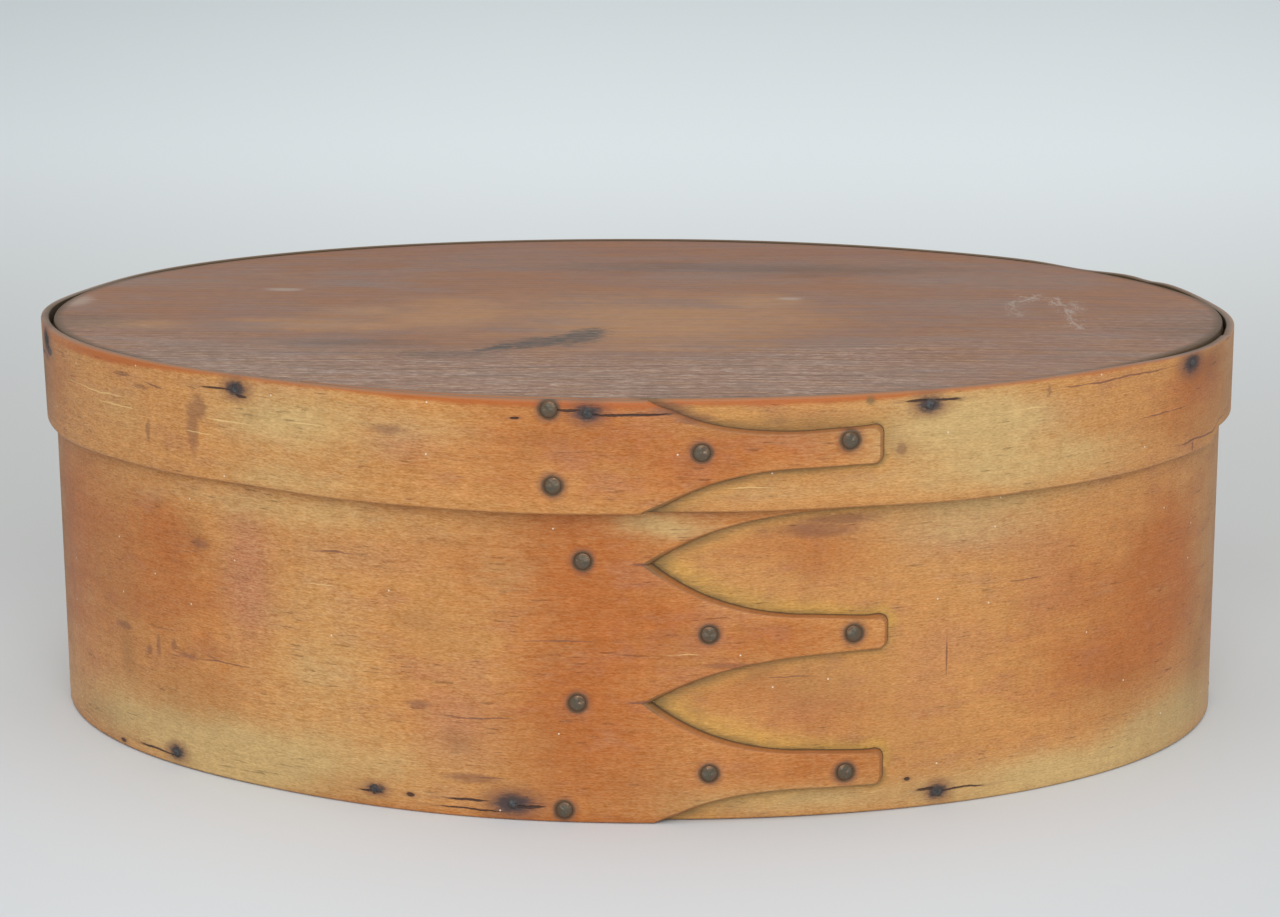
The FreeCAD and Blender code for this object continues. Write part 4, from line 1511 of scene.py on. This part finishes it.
lid_board = board_piece(
    "lid_board_pine",
    lid_board_outline,
    lid_board_full,
    lid_board_low,
    lid_board_high,
    arris=0.5,
    outside_up=True,
    droop=0.5,
)
dress(lid_board, "lid", lid_pine, "lid_board")
bottom_board = board_piece(
    "bottom_board_pine",
    bottom_outline,
    bottom_outline,
    0.0,
    bottom_high[2],
    arris=0.3,
    outside_up=False,
    droop=0.0,
)
dress(bottom_board, "box", bottom_pine, "bottom_board")

# %% [markdown]
# ## Copper tacks
# A tack is a turned shape: a profile of radius and height carried round its own axis. The heads are
# hammered, so each is a little out of round and has its own dents, from a few sines with random
# phases. Inside the box the point is clinched into a flat button.

# %% Tacks
# Profiles are (radius, height above the wood), from the axis round to the shank's end.
tack_profile = np.array(
    [
        (0.0, 0.4), (0.5, 0.39), (0.95, 0.36), (1.35, 0.3), (1.65, 0.22), (1.85, 0.12), (1.95, 0.0),
        (1.95, -0.12), (1.9, -0.25), (0.7, -0.25), (0.6, -0.35),
    ]
)
clinch_profile = np.array(
    [(0.6, 0.45), (1.2, 0.42), (1.3, 0.3), (1.28, 0.08), (1.0, 0.0), (0.0, -0.02)]
)
point_profile = np.array([(0.6, 1.8), (0.3, 0.8), (0.0, 0.0)])
tack_head_rows = 7
deepest_clinch = 8.0
pin_crease = 50.0


def body_of(node):
    """Pins of the lid ride on the lid, and all others on the box."""
    return "lid" if node.startswith("lid") else "box"


def carried_round(profile, out_of_round, dents, count):
    """Profile carried round: radius times cosine and sine, made uneven by the given functions."""
    angle = np.linspace(0.0, FULL_TURN, count + 1)[None, :]
    radius = profile[:, :1] * out_of_round(angle)
    height = profile[:, 1:] + dents(profile[:, :1], angle)
    return np.stack(np.broadcast_arrays(radius * np.cos(angle), radius * np.sin(angle), height), -1)


def pin_piece(points, node, metal):
    """A pin moved from its own axes to its place: x along the band, y up, z out of the wood.

    The radius rides along, so that the finish can find the head's edge.
    """
    turn, out, height = heads[node]
    square_x, square_y = square_to_oval(turn)
    sideways = (-square_y, square_x, 0.0)
    outward = (square_x, square_y, 0.0)
    in_place = place(turn, out, height) + points @ np.array([sideways, (0.0, 0.0, 1.0), outward])
    radial = np.hypot(points[..., 0], points[..., 1])[..., None] * np.ones(3)
    sheets = Sheets()
    sheets.add(in_place, flip=True, radial=radial)
    return sheets.piece(f"{node}_{metal}", crease=pin_crease)


def depth_of(node):
    """How far a pin goes into the wood, from its solid's innermost point."""
    return heads[node][1] - turn_and_offset(solid_points(node))[1].min()


def tack_piece(node, seed):
    """One tack, a little out of round by two cosines, and dented by two sines of its own."""
    chance = np.random.default_rng(seed)
    phase = chance.uniform(0, FULL_TURN, 4)
    amount = chance.uniform(0.4, 1.0, 3)
    depth = depth_of(node)
    end = clinch_profile if depth < deepest_clinch else point_profile
    profile = np.concatenate([tack_profile, end - (0, depth)])
    on_top = np.arange(len(profile))[:, None] < tack_head_rows

    def out_of_round(angle):
        oval = 0.012 * amount[0] * np.cos(2 * angle + phase[0])
        return 1 + oval + 0.01 * np.cos(3 * angle + phase[1])

    def dents(radius, angle):
        on_head = np.clip((1.9 - radius) / 0.5, 0, 1) * np.clip(radius / 0.4, 0, 1)
        wave = amount[1] * np.sin(2 * angle + phase[2] + radius)
        wave = wave + amount[2] * np.sin(3 * angle - phase[3])
        return -0.05 * on_head * (1 + wave) * on_top

    return pin_piece(carried_round(profile, out_of_round, dents, 40), node, "copper")


# %% [markdown]
# ## The finish of the old metal
# Long years have left the copper dull: a brown-green film, with a few scratched spots where the
# metal still shines. The iron is nearly black. The rim of each head is painted darker as shade round
# the dome, and on the copper it is also painted redder, as a glint.

# %% Copper and iron
film_brown = (0.145, 0.1, 0.066)
film_green = (0.12, 0.105, 0.076)
copper_rim_shade_and_glint = (0.135, 0.058, 0.022)
iron_rim_shade = (0.06, 0.034, 0.02)
bright_copper = (0.5, 0.38, 0.24)
iron_black = (0.05, 0.048, 0.05)
iron_grey = (0.1, 0.103, 0.11)
iron_rust = (0.09, 0.05, 0.03)


def old_metal(name, dark, light, bright, rim_shade_colour, edge_mm, metallic, base_rough):
    """Two film colours in small clouds, a few brighter scratched spots, and an edge colour painted on
    the head's rim as shade.
    """
    f = Finish(name)
    where = f.node("ShaderNodeTexCoord", {}, {}, "Object")
    film = f.noise(f.stretched(where, (700, 700, 700)), 3.0, 0.6)
    specks = f.noise(f.stretched(where, (1900, 1900, 1900), (4.0, 0, 0)), 2.0, 0.6)
    shine = f.ease(specks, 0.62, 0.74)
    colour = f.mix(f.ease(film, 0.35, 0.65), dark, light)
    colour = f.mix(shine * 0.5, colour, bright)
    # Painted shade: the rim of the head is darker, and on the copper also redder as a painted glint.
    edge = f.ease(f.part(f.attribute("radial"), "X"), edge_mm - 0.7, edge_mm - 0.1)
    colour = f.mix(edge * 0.65, colour, rim_shade_colour)
    rough = base_rough + film.swing(0.3) - shine * 0.15
    normal = f.bump(film + specks * 0.4, 0.00015)
    return f.finish(colour, rough, normal, Metallic=metallic)


old_copper = old_metal(
    "old copper",
    film_brown,
    film_green,
    bright_copper,
    copper_rim_shade_and_glint,
    edge_mm=1.9,
    metallic=0.7,
    base_rough=0.42,
)
old_iron = old_metal(
    "old iron",
    iron_black,
    iron_grey,
    iron_rust,
    iron_rim_shade,
    edge_mm=1.2,
    metallic=0.5,
    base_rough=0.62,
)

for seed, node in enumerate(tack_nodes):
    dress(tack_piece(node, seed), body_of(node), old_copper, node)

# %% [markdown]
# ## Iron nails
# The nails are cut square and driven flush. Rust has eaten the corners, so the head is a rounded
# square: a circle whose radius grows towards the four corners. The shank tapers to a point in the
# board's edge.

# %% Nails
nail_profile = np.array(
    [
        (0.0, 0.1), (0.45, 0.11), (0.85, 0.08), (1.1, 0.02), (1.22, -0.1), (1.3, -0.5), (0.75, -0.55),
        (0.7, -1.2), (0.5, -7.0), (0.28, -12.4), (0.0, -12.95),
    ]
)
nail_head_rows = 4
first_nail_seed = 100


def nail_piece(node, seed):
    """One nail: a rounded square, turned by a random angle, with a pitted head.

    The larger of the cosine and the sine, to the power -0.7, is a radius that grows at the corners.
    """
    chance = np.random.default_rng(first_nail_seed + seed)
    turned = chance.uniform(-0.5, 0.5)
    phase = chance.uniform(0, FULL_TURN, 3)
    on_top = np.arange(len(nail_profile))[:, None] < nail_head_rows

    def out_of_round(angle):
        corner = np.maximum(np.abs(np.cos(angle - turned)), np.abs(np.sin(angle - turned)))
        rusted = 0.05 * np.sin(2 * angle + phase[0]) + 0.04 * np.sin(5 * angle + phase[1])
        return corner**-0.7 * (1 + rusted)

    def dents(radius, angle):
        on_head = np.clip((1.15 - radius) / 0.3, 0, 1) * on_top
        return -0.06 * on_head * (1 + np.sin(3 * angle + phase[2] + 2 * radius))

    return pin_piece(carried_round(nail_profile, out_of_round, dents, 32), node, "iron")


for seed, node in enumerate(nail_nodes):
    dress(nail_piece(node, seed), body_of(node), old_iron, node)

# %% [markdown]
# ## Floor, light and camera
# The box stands on a wide pale floor that reaches past the edge of the picture, so no wall is
# needed. A big soft lamp in front and above, one overhead and a pale world light it evenly. Light
# and shade are also painted into the floor's colour: darker just behind the box and towards the
# sides, paler and bluish far away, lighter close beside the box and darker under the front lamp.

# %% Floor
floor_near = (0.648, 0.664, 0.675)
floor_shade_behind = (0.545, 0.54, 0.525)
floor_far_light = (0.785, 0.812, 0.818)
floor_haze = (0.93, 0.95, 0.96)


def floor_finish():
    """Pale paper with light and shade painted in: darker behind the box and towards the sides, paler
    and bluish far off, lighter beside the box, darker under the front lamp.
    """
    f = Finish("floor paper")
    where = f.node("ShaderNodeTexCoord", {}, {}, "Object")
    x = f.part(where, "X")
    y = f.part(where, "Y")
    # Painted shade behind the box, and painted light, paler and bluish, far off.
    colour = f.mix(f.ease(y, -0.14, 0.16), floor_near, floor_shade_behind)
    colour = f.mix(f.ease(y, 0.15, 1.1), colour, floor_far_light)
    # Painted shade towards the sides.
    aside = x.size() / (0.9 + y.most(-0.5))
    colour = f.scaled(colour, f.ease(aside, 0.06, 0.34, 1.02, 0.88))
    # Painted light close beside the box, against its shadow.
    beside = f.length(f.stretched(where, (0.7, 1.0, 0.0)))
    colour = f.scaled(colour, f.ease(beside, 0.1, 0.18, 1.06, 1.0))
    far_off = f.length(f.stretched(where, (1.0, 1.0, 0.0)))
    colour = f.mix(f.ease(far_off, 2.3, 4.6), colour, floor_haze)
    # Painted shade under the front lamp, against its pool of light.
    from_lamp = f.length(f.stretched(where, (1.0, 1.0, 0.0), (-0.25, 1.7, 0.0)))
    colour = f.scaled(colour, f.ease(from_lamp, 0.4, 1.65, 0.55, 1.0))
    return f.finish(colour, 0.9, None, Specular_IOR_Level=0.1)


floor_reach = 12000.0
corner = np.array([-floor_reach, floor_reach])
ground = np.stack(np.meshgrid(corner, corner, indexing="ij") + [np.zeros((2, 2))], axis=-1)
floor_sheets = Sheets()
floor_sheets.add(ground, flip=True)
floor = floor_sheets.piece("floor")
floor.data.materials.append(floor_finish())

# %% Lamps and world


def soft_lamp(name, where, size, watts):
    """A square lamp that faces the middle of the box."""
    data = bpy.data.lights.new(name, "AREA")
    data.shape = "SQUARE"
    data.size = size
    data.energy = watts
    lamp = bpy.data.objects.new(name, data)
    lamp.location = where
    aim = Vector((0.0, 0.0, 0.05)) - Vector(where)
    lamp.rotation_euler = aim.to_track_quat("-Z", "Y").to_euler()
    bpy.context.scene.collection.objects.link(lamp)


soft_lamp("front lamp", (0.3, -2.2, 1.25), size=1.8, watts=37.0)
soft_lamp("overhead lamp", (0.0, 0.2, 2.2), size=2.8, watts=15.0)

air_colour = (0.68, 0.72, 0.74)
air_strength = 0.9
world = bpy.data.worlds.new("studio air")
world.use_nodes = True
bpy.context.scene.world = world
backdrop = world.node_tree.nodes["Background"]
backdrop.inputs["Color"].default_value = (*air_colour, 1.0)
backdrop.inputs["Strength"].default_value = air_strength
bpy.context.scene.view_settings.view_transform = "Standard"

# %% [markdown]
# The camera stands a little to the right and above, about 0.8 m away, with a long lens. Its three
# axes are worked out from how far it looks down, to the side and how much it leans.

# %% Camera
camera_place = np.array([67.467, -758.859, 243.646]) * MM
looks_down = 0.2358
looks_aside = -0.0863
leans = -0.0048
lens_mm = 86.336


def camera_axes(down, aside, lean):
    """Right, up and backward directions of a camera.

    Forward comes from the sines and cosines of the first two angles. Right starts out level, up is
    square to both, and the lean turns these two about the forward direction.
    """
    forward = np.array(
        [math.sin(aside) * math.cos(down), math.cos(aside) * math.cos(down), -math.sin(down)]
    )
    level = np.array([math.cos(aside), -math.sin(aside), 0.0])
    upward = np.cross(level, forward)
    right = level * math.cos(lean) + upward * math.sin(lean)
    up = upward * math.cos(lean) - level * math.sin(lean)
    return right, up, -forward


camera_data = bpy.data.cameras.new("camera")
camera_data.lens = lens_mm
camera_data.sensor_width = 36.0
camera_data.clip_start = 0.05
camera_data.clip_end = 50.0
camera = bpy.data.objects.new("camera", camera_data)
axes = np.stack(camera_axes(looks_down, looks_aside, leans), axis=1)
turned = Matrix(axes.tolist()).to_4x4()
camera.matrix_world = Matrix.Translation(Vector(camera_place)) @ turned
bpy.context.scene.collection.objects.link(camera)
bpy.context.scene.camera = camera

# %% [markdown]
# ## Last update
# The dressed box has to keep the size of the solids; this cell only brings the scene up to date once
# more.

# %% Bring the scene up to date
bpy.context.view_layer.update()
